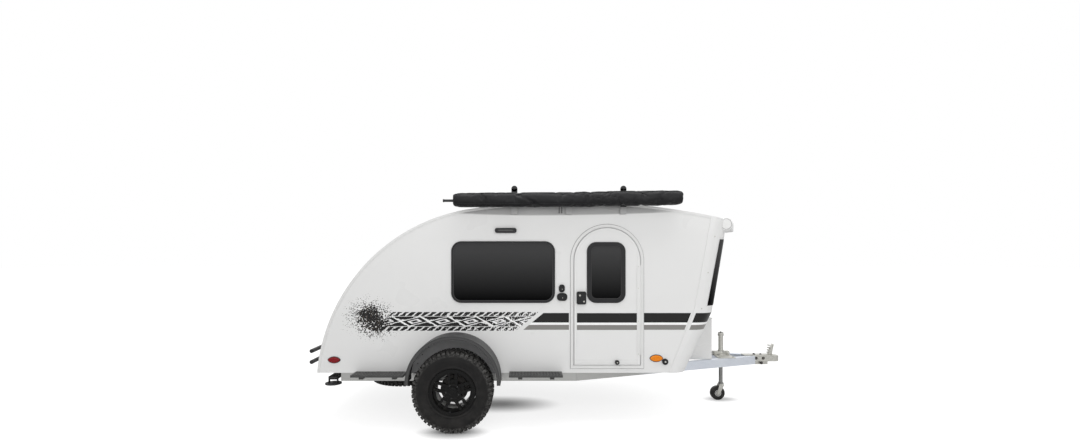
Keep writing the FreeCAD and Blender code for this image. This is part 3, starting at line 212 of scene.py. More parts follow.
def makeDust():
    # dry dust that thins out upwards
    group, given, result = newGroup(
        "roadDust", {"Vector": "Vector", "Color": "Color", "Dust": "Color", "Top": "Float", "Amount": "Float"},
        {"Color": "Color", "Mask": "Float"})
    fall = calc("MAXIMUM", 1.0 - split(given["Vector"])["Z"] / given["Top"], 0.0)
    mask = remap(noise(given["Vector"], 14.0, 6.0), 0.38, 0.72) * fall * given["Amount"]
    feed(result["Mask"], mask)
    feed(result["Color"], mixColor(mask, given["Color"], given["Dust"]))
    return group


def makeBrushed():
    # fine marks along X, as on rolled aluminium
    group, given, result = newGroup("rolledMarks", {"Vector": "Vector"}, {"Height": "Float", "Streak": "Float"})
    stretched = addNode(group, "ShaderNodeMapping", {
        "Vector": given["Vector"], "Scale": (3.0, 260.0, 260.0)})[0]
    marks = noise(stretched, 1.0, 5.0)
    feed(result["Height"], marks)
    feed(result["Streak"], remap(marks, 0.3, 0.7))
    return group


def makeWeave():
    # plain weave from two crossed waves
    group, given, result = newGroup("plainWeave", {"Vector": "Vector", "Scale": "Float"},
                                    {"Height": "Float", "Thread": "Float"})
    warp, weft = (waves(given["Vector"], given["Scale"], direction, Distortion=0.6, Detail=1.0)
                  for direction in ("X", "Z"))
    feed(result["Thread"], warp * weft)
    feed(result["Height"], warp + weft)
    return group


# ---- stripes and the patterned band on both sides
stripes = {
    "black": (0.959, 1.048), "white": (0.937, 0.959), "grey": (0.891, 0.937),
    "start": 0.713, "slant": 1.2, "doorGap": (-0.355, -0.283, 0.278, 0.345),
    "seamFoot": (1.990, 0.490), "seamSlope": 0.398, "seamGap": (-0.015, 0.028), "face": 0.845, "capFace": 0.70,
    "ink": (0.005, 0.0046, 0.0046, 1), "warmGrey": (0.222, 0.215, 0.203, 1), "lineWhite": (0.90, 0.90, 0.90, 1),
    "earth": (0.045, 0.036, 0.028, 1),
}
# painted shade of the awning bag on the roof film's edge: a grey band along the walls' upper edge, the length
# of the bag
bagShade = {"color": (0.36, 0.36, 0.358, 1), "foot": (0.695, 1.957), "curve": (0.047, 0.017), "span": (-0.03, 2.10),
        "edge": (-0.004, 0.008), "fadeIn": 0.05, "fadeOut": 0.25}
band = {
    "from": -0.70, "to": 0.655, "low": 0.882, "high": 1.057, "edge": 0.038, "tooth": 0.064, "toothShare": 0.68,
    "lozenge": 0.262, "lean": 0.34, "lines": ((0.040, 0.047), (0.018, 0.024)),
    "fill": (0.050, 0.024, 0.040, 0.012), "lineEdge": 0.006, "fillEdge": 0.004, "cover": (0.98, 0.50),
    "wear": 95.0, "waver": 0.055,
}
burst = {"middles": (((-0.812, 1.008), 0.0), ((-0.735, 0.940), 0.045)), "squeeze": 1.2, "ragged": 0.16,
         "core": 0.030, "reach": 0.275, "dot": 80.0, "dotSize": (0.82, 0.09), "earthShare": 0.82}


def makeGraphics():
    group, given, result = newGroup("sideGraphics", {"Vector": "Vector", "Color": "Color"},
                                    {"Color": "Color", "Mask": "Float"})
    place, color = given["Vector"], given["Color"]
    parts = split(place)
    across, up = abs(parts["Y"]), parts["Z"]
    ahead, fromDoor = parts["X"] - axleX, parts["X"] - doorX
    lean = ahead - (up - stripes["black"][0]) * stripes["slant"]
    footX, footZ = stripes["seamFoot"]
    seam = ahead - (footX + (up - footZ) * stripes["seamSlope"])
    onWall = (across > stripes["face"]) & (seam < stripes["seamGap"][0])
    onCap = (across > stripes["capFace"]) & (seam > stripes["seamGap"][1])
    gap = stripes["doorGap"]
    clear = (fromDoor < gap[0]) | between(fromDoor, gap[1], gap[2]) | (fromDoor > gap[3])
    stretch = (lean > stripes["start"]) & clear & (onWall | onCap)
    inked = []
    for name, paintName in (("white", "lineWhite"), ("grey", "warmGrey"), ("black", "ink")):
        inked.append(stretch & between(up, *stripes[name]))
        color = mixColor(inked[-1], color, stripes[paintName])
    # band of slanted teeth above and below a row of outlined lozenges
    inBand = between(lean, band["from"], band["to"]) & between(up, band["low"], band["high"]) & onWall
    fromCentre = up - (band["low"] + band["high"]) / 2
    offCentre = abs(fromCentre)
    inner = (band["high"] - band["low"]) / 2 - band["edge"]
    wear = cells(place, band["wear"], distance="CHEBYCHEV")["Distance"]
    kept = wear < remap(lean, band["from"], band["to"], *band["cover"])
    uneven = (noise(place, 30.0, 2.0) - 0.5) * band["waver"]
    shift = calc("SIGN", fromCentre) * (0.25 * band["tooth"])
    rows = calc("FRACT", (lean + uneven + shift) / band["tooth"])
    teeth = inBand & (offCentre > inner) & (rows < band["toothShare"]) & kept
    ring = abs(calc("FRACT", lean / band["lozenge"]) - 0.5) * (band["lozenge"] * band["lean"]) + offCentre
    outer, inside = band["lines"]
    within = inBand & (offCentre < inner - band["lineEdge"])
    lozenges = within & (between(ring, *outer) | between(ring, *inside))
    beyond, low, high, core = band["fill"]
    solid = (ring + uneven > beyond) | between(ring, low, high) | (ring < core)
    filler = inBand & (offCentre < inner - band["fillEdge"]) & solid & kept
    # round dots that thin out from the burst's two middles
    spread = []
    for (x, z), more in burst["middles"]:
        run, rise = ahead - x, (up - z) * burst["squeeze"]
        spread.append(more + calc("SQRT", run * run + rise * rise))
    reach = calc("MINIMUM", *spread) + (noise(place, 9.0, 4.0) - 0.5) * burst["ragged"]
    dots = cells(place, burst["dot"], 0.75)
    size = remap(reach, burst["core"], burst["reach"], *burst["dotSize"])
    speckle = (dots["Distance"] < size) & (reach < burst["reach"]) & onWall
    color = mixColor(teeth | filler, color, stripes["ink"])
    color = mixColor(lozenges, color, stripes["lineWhite"])
    soil = mixColor(firstPart(dots["Color"]) > burst["earthShare"], stripes["ink"], stripes["earth"])
    color = mixColor(speckle, color, soil)
    # grey band along the walls' upper edge under the awning bag: the roof film's edge, darkened by painted
    # shade of the bag
    run = ahead - bagShade["foot"][0]
    rear, front = bagShade["curve"]
    bend = addNode(group, "ShaderNodeMix", {0: run > 0.0, 2: rear, 3: front})[0]
    low, high = bagShade["span"]
    shown = remap(up - (run * run * bend + bagShade["foot"][1]), *bagShade["edge"])
    shown = shown & remap(ahead, low, low + bagShade["fadeIn"])
    shown = shown & remap(ahead, high - bagShade["fadeOut"], high, 1.0, 0.0)
    feed(result["Color"], mixColor(shown & onWall, color, bagShade["color"]))
    mask = teeth | filler | lozenges | speckle
    for stripe in inked:
        mask = mask | stripe
    feed(result["Mask"], mask)
    return group


grain, tone, dust = makeGrain(), makeTone(), makeDust()
rolled, weave, graphics = makeBrushed(), makeWeave(), makeGraphics()
print("shared effects made")


# ---- materials
paint = {}


def newMaterial(name, **constants):
    material = paint[name] = bpy.data.materials.new(name)
    material.use_nodes = True
    sockets = material.node_tree.nodes["Principled BSDF"].inputs
    for key, value in constants.items():
        sockets[key.replace("_", " ")].default_value = value
    return sockets, addNode(material.node_tree, "ShaderNodeTexCoord")["Object"]


def drift(place, scale, first, second):
    return useGroup(tone, Vector=place, Scale=scale, First=(*first, 1), Second=(*second, 1))["Color"]


def finishMaterial(sockets, color, roughness, height, strength, distance):
    feed(sockets["Base Color"], color)
    if roughness:
        feed(sockets["Roughness"], roughness)
    feed(sockets["Normal"], addNode(height.tree, "ShaderNodeBump", {
        "Height": height, "Strength": strength, "Distance": distance})[0])


# two close tones, roughness from and to, grain scale, relief in metres, dust, other constants
coats = {
    "whiteMoulding": ((0.74, 0.74, 0.73), (0.77, 0.77, 0.765), (0.24, 0.34), 320, 0.00004, 0.0,
                      {"Coat_Weight": 0.35, "Coat_Roughness": 0.12}),
    "trimWhite": ((0.70, 0.70, 0.69), (0.73, 0.73, 0.725), (0.38, 0.5), 700, 0.00005, 0.0, {}),
    "frameBlack": ((0.013, 0.013, 0.014), (0.018, 0.018, 0.019), (0.40, 0.52), 900, 0.00008, 0.0,
                   {"Specular_IOR_Level": 0.25}),
    "fenderPlastic": ((0.041, 0.041, 0.042), (0.050, 0.050, 0.050), (0.42, 0.55), 850, 0.00018, 0.12,
                      {"Specular_IOR_Level": 0.4}),
    "steelBlack": ((0.014, 0.014, 0.015), (0.022, 0.022, 0.023), (0.4, 0.55), 800, 0.0001, 0.12,
                   {"Specular_IOR_Level": 0.35}),
    "rimSatin": ((0.003, 0.003, 0.003), (0.005, 0.005, 0.005), (0.24, 0.36), 900, 0.00005, 0.02,
                 {"Specular_IOR_Level": 0.16}),
    "barrelGrey": ((0.55, 0.55, 0.54), (0.66, 0.66, 0.65), (0.4, 0.6), 500, 0.0001, 0.3, {}),
    "drumIron": ((0.030, 0.029, 0.028), (0.05, 0.045, 0.042), (0.55, 0.75), 260, 0.0003, 0.4, {}),
    "casterRubber": ((0.008, 0.008, 0.008), (0.013, 0.013, 0.013), (0.5, 0.65), 500, 0.00015, 0.1,
                     {"Specular_IOR_Level": 0.25}),
    "blackChrome": ((0.02, 0.02, 0.021), (0.028, 0.028, 0.029), (0.16, 0.26), 900, 0.00002, 0.05,
                    {"Metallic": 0.7, "Coat_Weight": 0.3}),
    "gasketBlack": ((0.030, 0.030, 0.031), (0.040, 0.040, 0.041), (0.5, 0.6), 900, 0.00005, 0.0,
                    {"Specular_IOR_Level": 0.3}),
    # painted light: the fender's back plate inside the arch, a lighter grey than the fender plastic
    "linerPaintedLight": ((0.34, 0.34, 0.345), (0.40, 0.40, 0.405), (0.5, 0.65), 700, 0.0002, 0.2,
                  {"Specular_IOR_Level": 0.35}),
    "smokeLens": ((0.045, 0.045, 0.045), (0.06, 0.06, 0.06), (0.15, 0.25), 300, 0.0001, 0.0,
                  {"Specular_IOR_Level": 0.4}),
    "sealRubber": ((0.025, 0.025, 0.025), (0.035, 0.035, 0.035), (0.6, 0.7), 600, 0.0001, 0.0, {}),
    "greyGasket": ((0.62, 0.62, 0.62), (0.66, 0.66, 0.66), (0.5, 0.6), 600, 0.0001, 0.0, {}),
    "seamGrey": ((0.26, 0.26, 0.26), (0.32, 0.32, 0.32), (0.5, 0.6), 600, 0.0001, 0.0, {}),
    "roofFilm": ((0.48, 0.48, 0.475), (0.53, 0.53, 0.525), (0.45, 0.6), 500, 0.0002, 0.0,
                 {"Specular_IOR_Level": 0.3}),
    # the grey of the painted shade band under the awning bag
    "bagShadeGrey": ((0.36, 0.36, 0.358), (0.40, 0.40, 0.398), (0.5, 0.6), 600, 0.0001, 0.0, {}),
    "floorBoard": ((0.055, 0.052, 0.048), (0.08, 0.075, 0.068), (0.6, 0.8), 120, 0.0004, 0.5, {}),
}
roadDust = {"Dust": (0.34, 0.31, 0.27, 1), "Top": 0.75}


def makeCoat(name, first, second, rough, scale, relief, dusty, more):
    sockets, place = newMaterial(name, **more)
    color = drift(place, 6.0, first, second)
    if dusty:
        color = useGroup(dust, Vector=place, Color=color, Amount=dusty, **roadDust)["Color"]
    fine = useGroup(grain, Vector=place, Scale=scale)
    finishMaterial(sockets, color, remap(fine["Cloud"], 0.3, 0.7, *rough), fine["Height"], 0.6, relief)


def makeGelCoat():
    # gloss white side and cap, with the stripes as thin film
    sockets, place = newMaterial("gelCoat", Coat_Weight=0.12, Coat_Roughness=0.08, Specular_IOR_Level=0.3)
    white = drift(place, 0.8, (0.742, 0.742, 0.735), (0.754, 0.754, 0.750))
    marks = useGroup(graphics, Vector=place, Color=white)
    fine = useGroup(grain, Vector=place, Scale=45.0)
    finishMaterial(sockets, marks["Color"], remap(fine["Cloud"], 0.3, 0.7, 0.26, 0.34) + marks["Mask"] * 0.10,
                   fine["Height"] * 0.25 + marks["Mask"], 0.25, 0.0002)


def makeGlass(low, high):
    # dark tint with a painted reflection: a little lighter towards the top
    sockets, place = newMaterial("tintedGlassPaintedReflection", Roughness=0.05, IOR=1.5, Specular_IOR_Level=0.03)
    tint = mixColor(remap(split(place)["Z"], low, high), (0.0006, 0.0006, 0.0007, 1), (0.052, 0.052, 0.053, 1))
    finishMaterial(sockets, tint, None, noise(place, 3.0, 2.0), 0.08, 0.001)


def makeAluminium(name, dull=None):
    sockets, place = newMaterial(name, Metallic=1.0)
    marks = useGroup(rolled, Vector=place)
    color = drift(place, 5.0, (0.66, 0.70, 0.77), (0.74, 0.77, 0.82))
    if dull:
        # painted shade: greyer behind the given stretch of X, where the beams run in under the body
        color = mixColor(remap(split(place)["X"], *dull, 1.0, 0.0), color, (0.44, 0.44, 0.43, 1))
    finishMaterial(sockets, color, remap(marks["Streak"], 0.0, 1.0, 0.26, 0.42), marks["Height"], 0.3, 0.0002)


def makeZinc(name, first, second):
    # crystal spangle of a plated surface
    sockets, place = newMaterial(name, Metallic=0.9)
    tint = firstPart(cells(place, 140.0)["Color"])
    fine = useGroup(grain, Vector=place, Scale=420.0)
    finishMaterial(sockets, mixColor(tint, (*first, 1), (*second, 1)), remap(tint, 0.0, 1.0, 0.34, 0.5),
                   fine["Height"], 0.3, 0.0002)


def makeRubber(shoulderLow, shoulderHigh):
    sockets, place = newMaterial("tyreRubber", Specular_IOR_Level=0.14)
    base = drift(place, 9.0, (0.009, 0.009, 0.009), (0.014, 0.0135, 0.0135))
    dusty = useGroup(dust, Vector=place, Color=base, Dust=(0.060, 0.056, 0.052, 1), Top=0.9, Amount=0.35)
    # scuffed shoulder of both running tyres
    parts = split(place)
    run, rise = parts["X"] - wheelCentre.x, parts["Z"] - wheelCentre.z
    shoulder = remap(calc("SQRT", run * run + rise * rise), shoulderLow, shoulderHigh)
    scuff = remap(noise(place, 55.0, 4.0), 0.40, 0.62, 0.15, 1.0) * shoulder
    fine = useGroup(grain, Vector=place, Scale=620.0)
    finishMaterial(sockets, mixColor(scuff * 0.9, dusty["Color"], (0.088, 0.086, 0.083, 1)),
                   remap(fine["Cloud"], 0.3, 0.7, 0.55, 0.68) + dusty["Mask"] * 0.3,
                   fine["Height"], 0.5, 0.0002)


def makeCloth(name, first, second, scale, faded=0.0):
    sockets, place = newMaterial(name, Sheen_Weight=0.02, Sheen_Roughness=0.4, Specular_IOR_Level=0.22)
    threads = useGroup(weave, Vector=place, Scale=scale)
    color = drift(place, 11.0, first, second)
    if faded:
        # painted light: lighter towards the top, as if lit from above
        height = split(place)["Z"] + (noise(place, 5.0, 2.0) - 0.5) * 0.05
        paintedLight = remap(height, bagLow.z + 0.03, bagHigh.z - 0.02) * faded
        color = mixColor(paintedLight, color, (0.16, 0.16, 0.165, 1))
    finishMaterial(sockets, mixColor(threads["Thread"] * 0.25, color, (0.03, 0.03, 0.032, 1)),
                   remap(threads["Thread"], 0.0, 1.0, 0.38, 0.54), threads["Height"], 0.5, 0.0004)


def makeLensGlass(name, deep, bright):
    sockets, place = newMaterial(name, Roughness=0.12, Specular_IOR_Level=0.25, Coat_Weight=0.1,
                                 Coat_Roughness=0.05)
    ribs = waves(place, 55.0, "X")
    finishMaterial(sockets, mixColor(ribs, (*deep, 1), (*bright, 1)), None, ribs, 0.5, 0.0008)


for name, spec in coats.items():
    makeCoat(name, *spec)
makeGelCoat()
makeGlass(1.16, 1.62)
makeAluminium("rolledAluminium")
# painted shade on the beams and rails under the body
makeAluminium("beamAluminium", (fromAxle(1.75), fromAxle(2.15)))
makeZinc("zincPlate", (0.46, 0.455, 0.42), (0.60, 0.595, 0.56))
makeZinc("dullZinc", (0.22, 0.22, 0.215), (0.32, 0.32, 0.31))
makeRubber(0.312, 0.330)
# the bag gets painted light towards its top
makeCloth("bagCloth", (0.0042, 0.0042, 0.005), (0.007, 0.007, 0.008), 420.0, faded=0.03)
makeCloth("webbing", (0.014, 0.014, 0.015), (0.020, 0.020, 0.021), 300.0)
makeLensGlass("redLens", (0.14, 0.001, 0.003), (0.30, 0.002, 0.008))
makeLensGlass("amberLens", (0.72, 0.17, 0.004), (0.90, 0.30, 0.01))
print("materials made")


# ---- pieces: a mesh with its finish, its body and rounded edges
slotOf = {entry["node"]: entry["material_slot"] for entry in frame["record"]["subparts"]}
bodyOf = {node: body for body, nodes in frame["record"]["behaviour"]["bodies"].items() for node in nodes}
sharpAngle = math.radians(32)


def camel(node):
    first, *rest = node.split("_")
    return first + "".join(word.capitalize() for word in rest)


def addPiece(name, shape, material, slot, body="trailer", width=0.0, segments=2, smooth=sharpAngle):
    mesh = bpy.data.meshes.new(name)
    shape.to_mesh(mesh)
    shape.free()
    mesh.shade_smooth()
    mesh.set_sharp_from_angle(angle=smooth)
    mesh.materials.append(paint[material])
    piece = bpy.data.objects.new(name, mesh)
    scene.collection.objects.link(piece)
    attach(piece, body)
    if width:
        edge = piece.modifiers.new("roundedEdges", "BEVEL")
        edge.width = width
        edge.segments = segments
        edge.profile = 0.5
        edge.limit_method = "ANGLE"
        edge.angle_limit = sharpAngle
        edge.harden_normals = True
    return piece


# ---- carried-over pieces: edges rounded a little and curves shaded smooth
def mergedCopy(node):
    shape = bmesh.new()
    shape.from_mesh(frame["nodes"][node].data)
    bmesh.ops.remove_doubles(shape, verts=shape.verts, dist=0.00002)
    return shape


def refine(node, shape, material, width, suffix=""):
    bmesh.ops.dissolve_limit(shape, angle_limit=math.radians(0.4), verts=shape.verts, edges=shape.edges)
    piece = addPiece(camel(node) + suffix, shape, material, slotOf[node], bodyOf[node], width)
    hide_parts(node)
    return piece


# finish: its nodes and the width of their rounded edges; * stands for right and left
carried = {
    "gelCoat": {"side_wall_*": 0, "front_cap": 0.003, "door_panel_*": 0.002},
    "roofFilm": {"roof_shell": 0.001},
    "whiteMoulding": {"rear_panel": 0.001, "hatch_panel": 0.002, "tongue_box": 0.006, "tongue_box_lid": 0.004,
                      "roof_vent": 0.002, "vent_lid": 0.006},
    "trimWhite": {"door_trims": 0.003, "edge_trims": 0.001},
    "tintedGlassPaintedReflection": {"front_window": 0.001, "side_window_panes": 0.001, "door_pane_*": 0.001},
    "frameBlack": {"side_window_frames": 0.004, "porch_lights": 0.003, "service_ports": 0.002},
    "fenderPlastic": {"fenders": 0.002, "side_steps": 0.002},
    "steelBlack": {"rear_bumper": 0.001, "axle": 0.002, "spare_carrier": 0.002, "stabiliser_mounts": 0.001,
                   "stabiliser_leg_*": 0.001, "stabiliser_foot_*": 0.001},
    "beamAluminium": {"frame_rails": 0.002, "frame_crossmembers": 0.002, "tongue_beams": 0.003},
    "rolledAluminium": {"hatch_hinge": 0.0005, "hatch_hinge_base": 0.0005},
    "zincPlate": {"coupler": 0.002, "coupler_latch": 0.002, "jack_mount": 0.0015, "jack_fork": 0.001},
    "dullZinc": {"jack_leg": 0.0015}, "casterRubber": {"jack_wheel": 0.006}, "floorBoard": {"floor_pan": 0},
    "rimSatin": {"rim_*": 0.0015, "spare_rim": 0.0015}, "drumIron": {"hub_*": 0.001},
    "redLens": {"tail_lamps": 0.002},
}
refined = {}
for material, nodes in carried.items():
    for pattern, width in nodes.items():
        for side in ("right", "left") if "*" in pattern else ("",):
            node = pattern.replace("*", side)
            refined[node] = refine(node, mergedCopy(node), material, width)
print("carried-over pieces refined")


# ---- mesh helpers
upwards, outwards = (0, 0, 1), (0, -1, 0)


def finishPiece(name, shape, material, slot, body="trailer", **rest):
    bmesh.ops.remove_doubles(shape, verts=shape.verts, dist=0.00002)
    bmesh.ops.recalc_face_normals(shape, faces=shape.faces)
    return addPiece(name, shape, material, slot, body, **rest)


def onePiece(name, build, material, slot, body="trailer", **rest):
    shape = bmesh.new()
    build(shape)
    return finishPiece(name, shape, material, slot, body, **rest)


def bothSides(name, build, material, slot, body="trailer", **rest):
    # the right piece and its mirror image; a body named with a side changes with it
    def mirrored(shape):
        build(shape)
        bmesh.ops.scale(shape, verts=shape.verts, vec=(1, -1, 1))

    return [onePiece(name + "Right", build, material, slot, body, **rest),
            onePiece(name + "Left", mirrored, material, slot, body.replace("_right", "_left"), **rest)]


def addBlock(shape, low, high):
    low, high = Vector(low), Vector(high)
    place = Matrix.Translation((low + high) / 2) @ Matrix.Diagonal((*(high - low), 1))
    return bmesh.ops.create_cube(shape, size=1, matrix=place)["verts"]


def addRod(shape, start, end, radius, segments=24, tip=None):
    start, end = Vector(start), Vector(end)
    place = Matrix.Translation((start + end) / 2) @ (end - start).to_track_quat("Z", "Y").to_matrix().to_4x4()
    bmesh.ops.create_cone(shape, cap_ends=True, segments=segments, radius1=radius,
                          radius2=radius if tip is None else tip, depth=(end - start).length, matrix=place)


def outOf(axis):
    return axis.orthogonal().normalized()


def addTurned(shape, outline, centre, axis, steps=32, closed=False):
    # an outline of (along, radius) pairs swept once round the axis
    axis, centre = Vector(axis).normalized(), Vector(centre)
    out = outOf(axis)
    points = [shape.verts.new(centre + axis * reach + out * radius) for reach, radius in outline]
    pairs = list(zip(points, points[1:])) + ([(points[-1], points[0])] if closed else [])
    edges = [shape.edges.new(pair) for pair in pairs]
    bmesh.ops.spin(shape, geom=points + edges, cent=centre, axis=axis, angle=math.tau, steps=steps,
                   use_merge=True)


def addDome(shape, place, facing, radius, height):
    addTurned(shape, [(-0.0015, 0.0), (-0.0015, radius), (0.35 * height, radius * 0.96),
                      (0.75 * height, radius * 0.7), (height, 0.0)], place, facing, 16)


def addBolt(shape, place, facing, radius, height):
    # washer, six-sided head and a low crown
    place, facing = Vector(place), Vector(facing).normalized()
    addRod(shape, place - facing * 0.001, place + facing * height * 0.22, radius * 1.4, 20)
    addRod(shape, place, place + facing * height * 0.85, radius, 6)
    addRod(shape, place + facing * height * 0.84, place + facing * height, radius * 0.86, 12, radius * 0.6)


def extrudeFace(shape, face):
    made = bmesh.ops.extrude_face_region(shape, geom=[face])["geom"]
    return next(item for item in made if isinstance(item, bmesh.types.BMFace))


def addBand(shape, centre, size, radii, width, span, segments=10):
    # band round a rounded outline in the X-Z plane, or a plate without a width;
    # radii are those of the lower and the upper corners, or one for all four
    x, z = centre
    half, rise = size[0] / 2, size[1] / 2
    lower, upper = radii if isinstance(radii, tuple) else (radii, radii)
    corners = [shape.verts.new((x + a * half, span[0], z + b * rise))
               for a, b in ((-1, -1), (1, -1), (1, 1), (-1, 1))]
    face = shape.faces.new(corners)
    known = set(shape.faces) - {face}
    for pair, radius in ((corners[:2], lower), (corners[2:], upper)):
        bmesh.ops.bevel(shape, geom=pair, offset=radius, offset_type="OFFSET", segments=segments, profile=0.5,
                        affect="VERTICES", material=-1)
    face = next(item for item in shape.faces if item not in known)
    ring = [face]
    if width:
        ring = bmesh.ops.inset_region(shape, faces=[face], thickness=width, use_boundary=True,
                                      use_even_offset=True)["faces"]
        bmesh.ops.delete(shape, geom=[face], context="FACES_ONLY")
    raised = bmesh.ops.extrude_face_region(shape, geom=ring)["geom"]
    bmesh.ops.translate(shape, verts=[item for item in raised if isinstance(item, bmesh.types.BMVert)],
                        vec=(0, span[1] - span[0], 0))


def skinOf(item):
    shape = bmesh.new()
    shape.from_mesh(item.data)
    tree = BVHTree.FromBMesh(shape)
    shape.free()
    return tree


def meet(skin, start, towards):
    # place and normal where a ray first meets the skin
    return skin.ray_cast(Vector(start), Vector(towards))[:2]


def faceOf(node, grow=0.0):
    # middle and size of a node in the X-Z plane, and its outer face
    low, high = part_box(node)
    centre = ((low.x + high.x) / 2, (low.z + high.z) / 2)
    return centre, (high.x - low.x + grow, high.z - low.z + grow), low.y


# ---- tyres: carcass, shoulder lugs and two rows of slanted blocks; outlines are (along the axle, radius)
tyre = {
    "carcass": ((0.086, 0.2090), (0.098, 0.2105), (0.1035, 0.2160), (0.1065, 0.2210), (0.1060, 0.2300),
                (0.1035, 0.2345), (0.1070, 0.2480), (0.1105, 0.2640), (0.1125, 0.2810), (0.1128, 0.2970),
                (0.1112, 0.3010), (0.1122, 0.3030), (0.1105, 0.3120), (0.1075, 0.3220), (0.1030, 0.3330),
                (0.0960, 0.3430), (0.0870, 0.3500), (0.0500, 0.3520)),
    "lining": ((0.0, 0.3400), (0.088, 0.3320), (0.100, 0.2900), (0.090, 0.2400)),
    "longLug": ((0.058, 0.349), (0.058, 0.3643), (0.0930, 0.3643), (0.1045, 0.3570), (0.1120, 0.3400),
                (0.1129, 0.3220), (0.1085, 0.3190), (0.100, 0.335), (0.085, 0.345)),
    "shortLug": ((0.066, 0.349), (0.066, 0.3643), (0.0900, 0.3643), (0.1020, 0.3585), (0.1105, 0.3450),
                 (0.1112, 0.3350), (0.1060, 0.3330), (0.095, 0.341), (0.082, 0.345)),
    "lugs": 26, "lugShare": 0.66, "leftShift": 0.25, "blocks": 32, "block": (0.007, 0.049),
    "blockLength": 0.048, "blockRadius": (0.3480, 0.3643), "blockTaper": 0.94, "blockShift": 0.3,
    "slant": 0.60, "slantFrom": 0.028, "steps": 176,
    "marks": 24, "mark": ((0.1065, 0.262), (0.1095, 0.276)), "markRadius": 0.0035,
}


def turned(axis, index, count):
    return Matrix.Rotation(math.tau * index / count, 3, axis)


def repeatRound(shape, verts, centre, axis, start, count):
    # turn a lump to its first place and copy it round the axis
    bmesh.ops.rotate(shape, verts=verts, cent=centre, matrix=Matrix.Rotation(start, 3, axis))
    faces = list({face for v in verts for face in v.link_faces})
    bmesh.ops.spin(shape, geom=faces, cent=centre, axis=axis, angle=math.tau * (count - 1) / count,
                   steps=count - 1, use_duplicate=True)


def addLugs(shape, outline, centre, axis, sign, start, angle):
    known = set(shape.verts)
    points = [shape.verts.new(centre + axis * sign * a + outOf(axis) * r) for a, r in outline]
    bmesh.ops.spin(shape, geom=[shape.faces.new(points)], cent=centre, axis=axis, angle=angle, steps=1)
    repeatRound(shape, [v for v in shape.verts if v not in known], centre, axis, start, tyre["lugs"])


def addBlocks(shape, centre, axis, sign, start):
    out = outOf(axis)
    ahead = axis.cross(out)
    cube = bmesh.ops.create_cube(shape, size=1)["verts"]
    for v in cube:
        a = tyre["block"][v.co.x > 0]
        r = tyre["blockRadius"][v.co.y > 0]
        t = math.copysign(tyre["blockLength"] / 2, v.co.z) * (1.0 if v.co.y < 0 else tyre["blockTaper"])
        t += sign * (a - tyre["slantFrom"]) * tyre["slant"]
        v.co = centre + axis * sign * a + (out * math.cos(t / r) + ahead * math.sin(t / r)) * r
    repeatRound(shape, cube, centre, axis, start, tyre["blocks"])


def makeTyre(shape, node, axis):
    centre = middle(node)
    right, lining = tyre["carcass"], tyre["lining"]
    outline = [*right] + [(-a, r) for a, r in reversed(right)] + [(-a, r) for a, r in reversed(lining)]
    addTurned(shape, [*outline, *lining[1:]], centre, axis, tyre["steps"], closed=True)
    pitch = math.tau / tyre["lugs"]
    share = pitch / 2 * tyre["lugShare"]
    for sign, start in ((1, 0.0), (-1, pitch * tyre["leftShift"])):
        addLugs(shape, tyre["longLug"], centre, axis, sign, start, share)
        addLugs(shape, tyre["shortLug"], centre, axis, sign, start + pitch / 2, share)
        addBlocks(shape, centre, axis, sign, start + pitch * tyre["blockShift"])
    # low raised bars on the outer sidewall, three and a gap of three
    for index in range(tyre["marks"]):
        if index % 6 < 3:
            foot, tip = (centre + axis * a + turned(axis, index, tyre["marks"]) @ (outOf(axis) * r)
                         for a, r in tyre["mark"])
            addRod(shape, foot, tip, tyre["markRadius"], 4)


wheels = (("Right", "tyre_right", Vector((0, -1, 0))), ("Left", "tyre_left", Vector((0, 1, 0))),
          ("Spare", "spare_tyre", Vector((0, 0, -1))))
for side, node, axis in wheels:
    piece = onePiece(camel(node), lambda shape: makeTyre(shape, node, axis), "tyreRubber", slotOf[node],
                     bodyOf[node], width=0.0009, segments=1, smooth=math.radians(28))
    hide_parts(node)
print("tyres made")


# ---- wheel nuts, centre cap, valve and the bare inner face of the rolled rim
wheelBits = {"nuts": 5, "nutCircle": 0.060, "nutRadius": 0.0105, "nutFrom": 0.052, "nutTo": 0.074,
             "capFace": 0.0825, "capRadius": 0.037, "capRibs": 3, "valve": (0.176, 0.070, 0.098),
             "valveTurn": 0.2 * math.pi + 0.05, "barrel": (-0.095, 0.030, 0.1577)}


def makeNuts(shape, centre, axis, out):
    radius = wheelBits["nutRadius"]
    for index in range(wheelBits["nuts"]):
        foot = centre + turned(axis, index + 0.5, wheelBits["nuts"]) @ (out * wheelBits["nutCircle"])
        start, end = foot + axis * wheelBits["nutFrom"], foot + axis * wheelBits["nutTo"]
        addRod(shape, start, end - axis * 0.004, radius, 6)
        addRod(shape, start - axis * 0.002, start + axis * 0.004, radius * 1.35, 20, radius)
        addDome(shape, end - axis * 0.004, axis, radius * 0.86, 0.006)


def makeCentreCap(shape, centre, axis, out):
    face, radius = wheelBits["capFace"], wheelBits["capRadius"]
    outline = [(-0.012, 0.0), (-0.012, radius - 0.001), (-0.002, radius), (0, radius - 0.002),
               (0.0012, radius - 0.006), (-0.0004, radius - 0.0085), (0.0006, 0.012), (0.0014, 0.006),
               (0.0014, 0.0)]
    addTurned(shape, [(face + a, r) for a, r in outline], centre, axis, 48)
    foot = centre + axis * (face + 0.0002)
    for index in range(wheelBits["capRibs"]):
        turn = turned(axis, index + 0.5, wheelBits["capRibs"])
        addRod(shape, foot + turn @ (out * 0.004), foot + turn @ (out * (radius - 0.009)), 0.0016, 6)


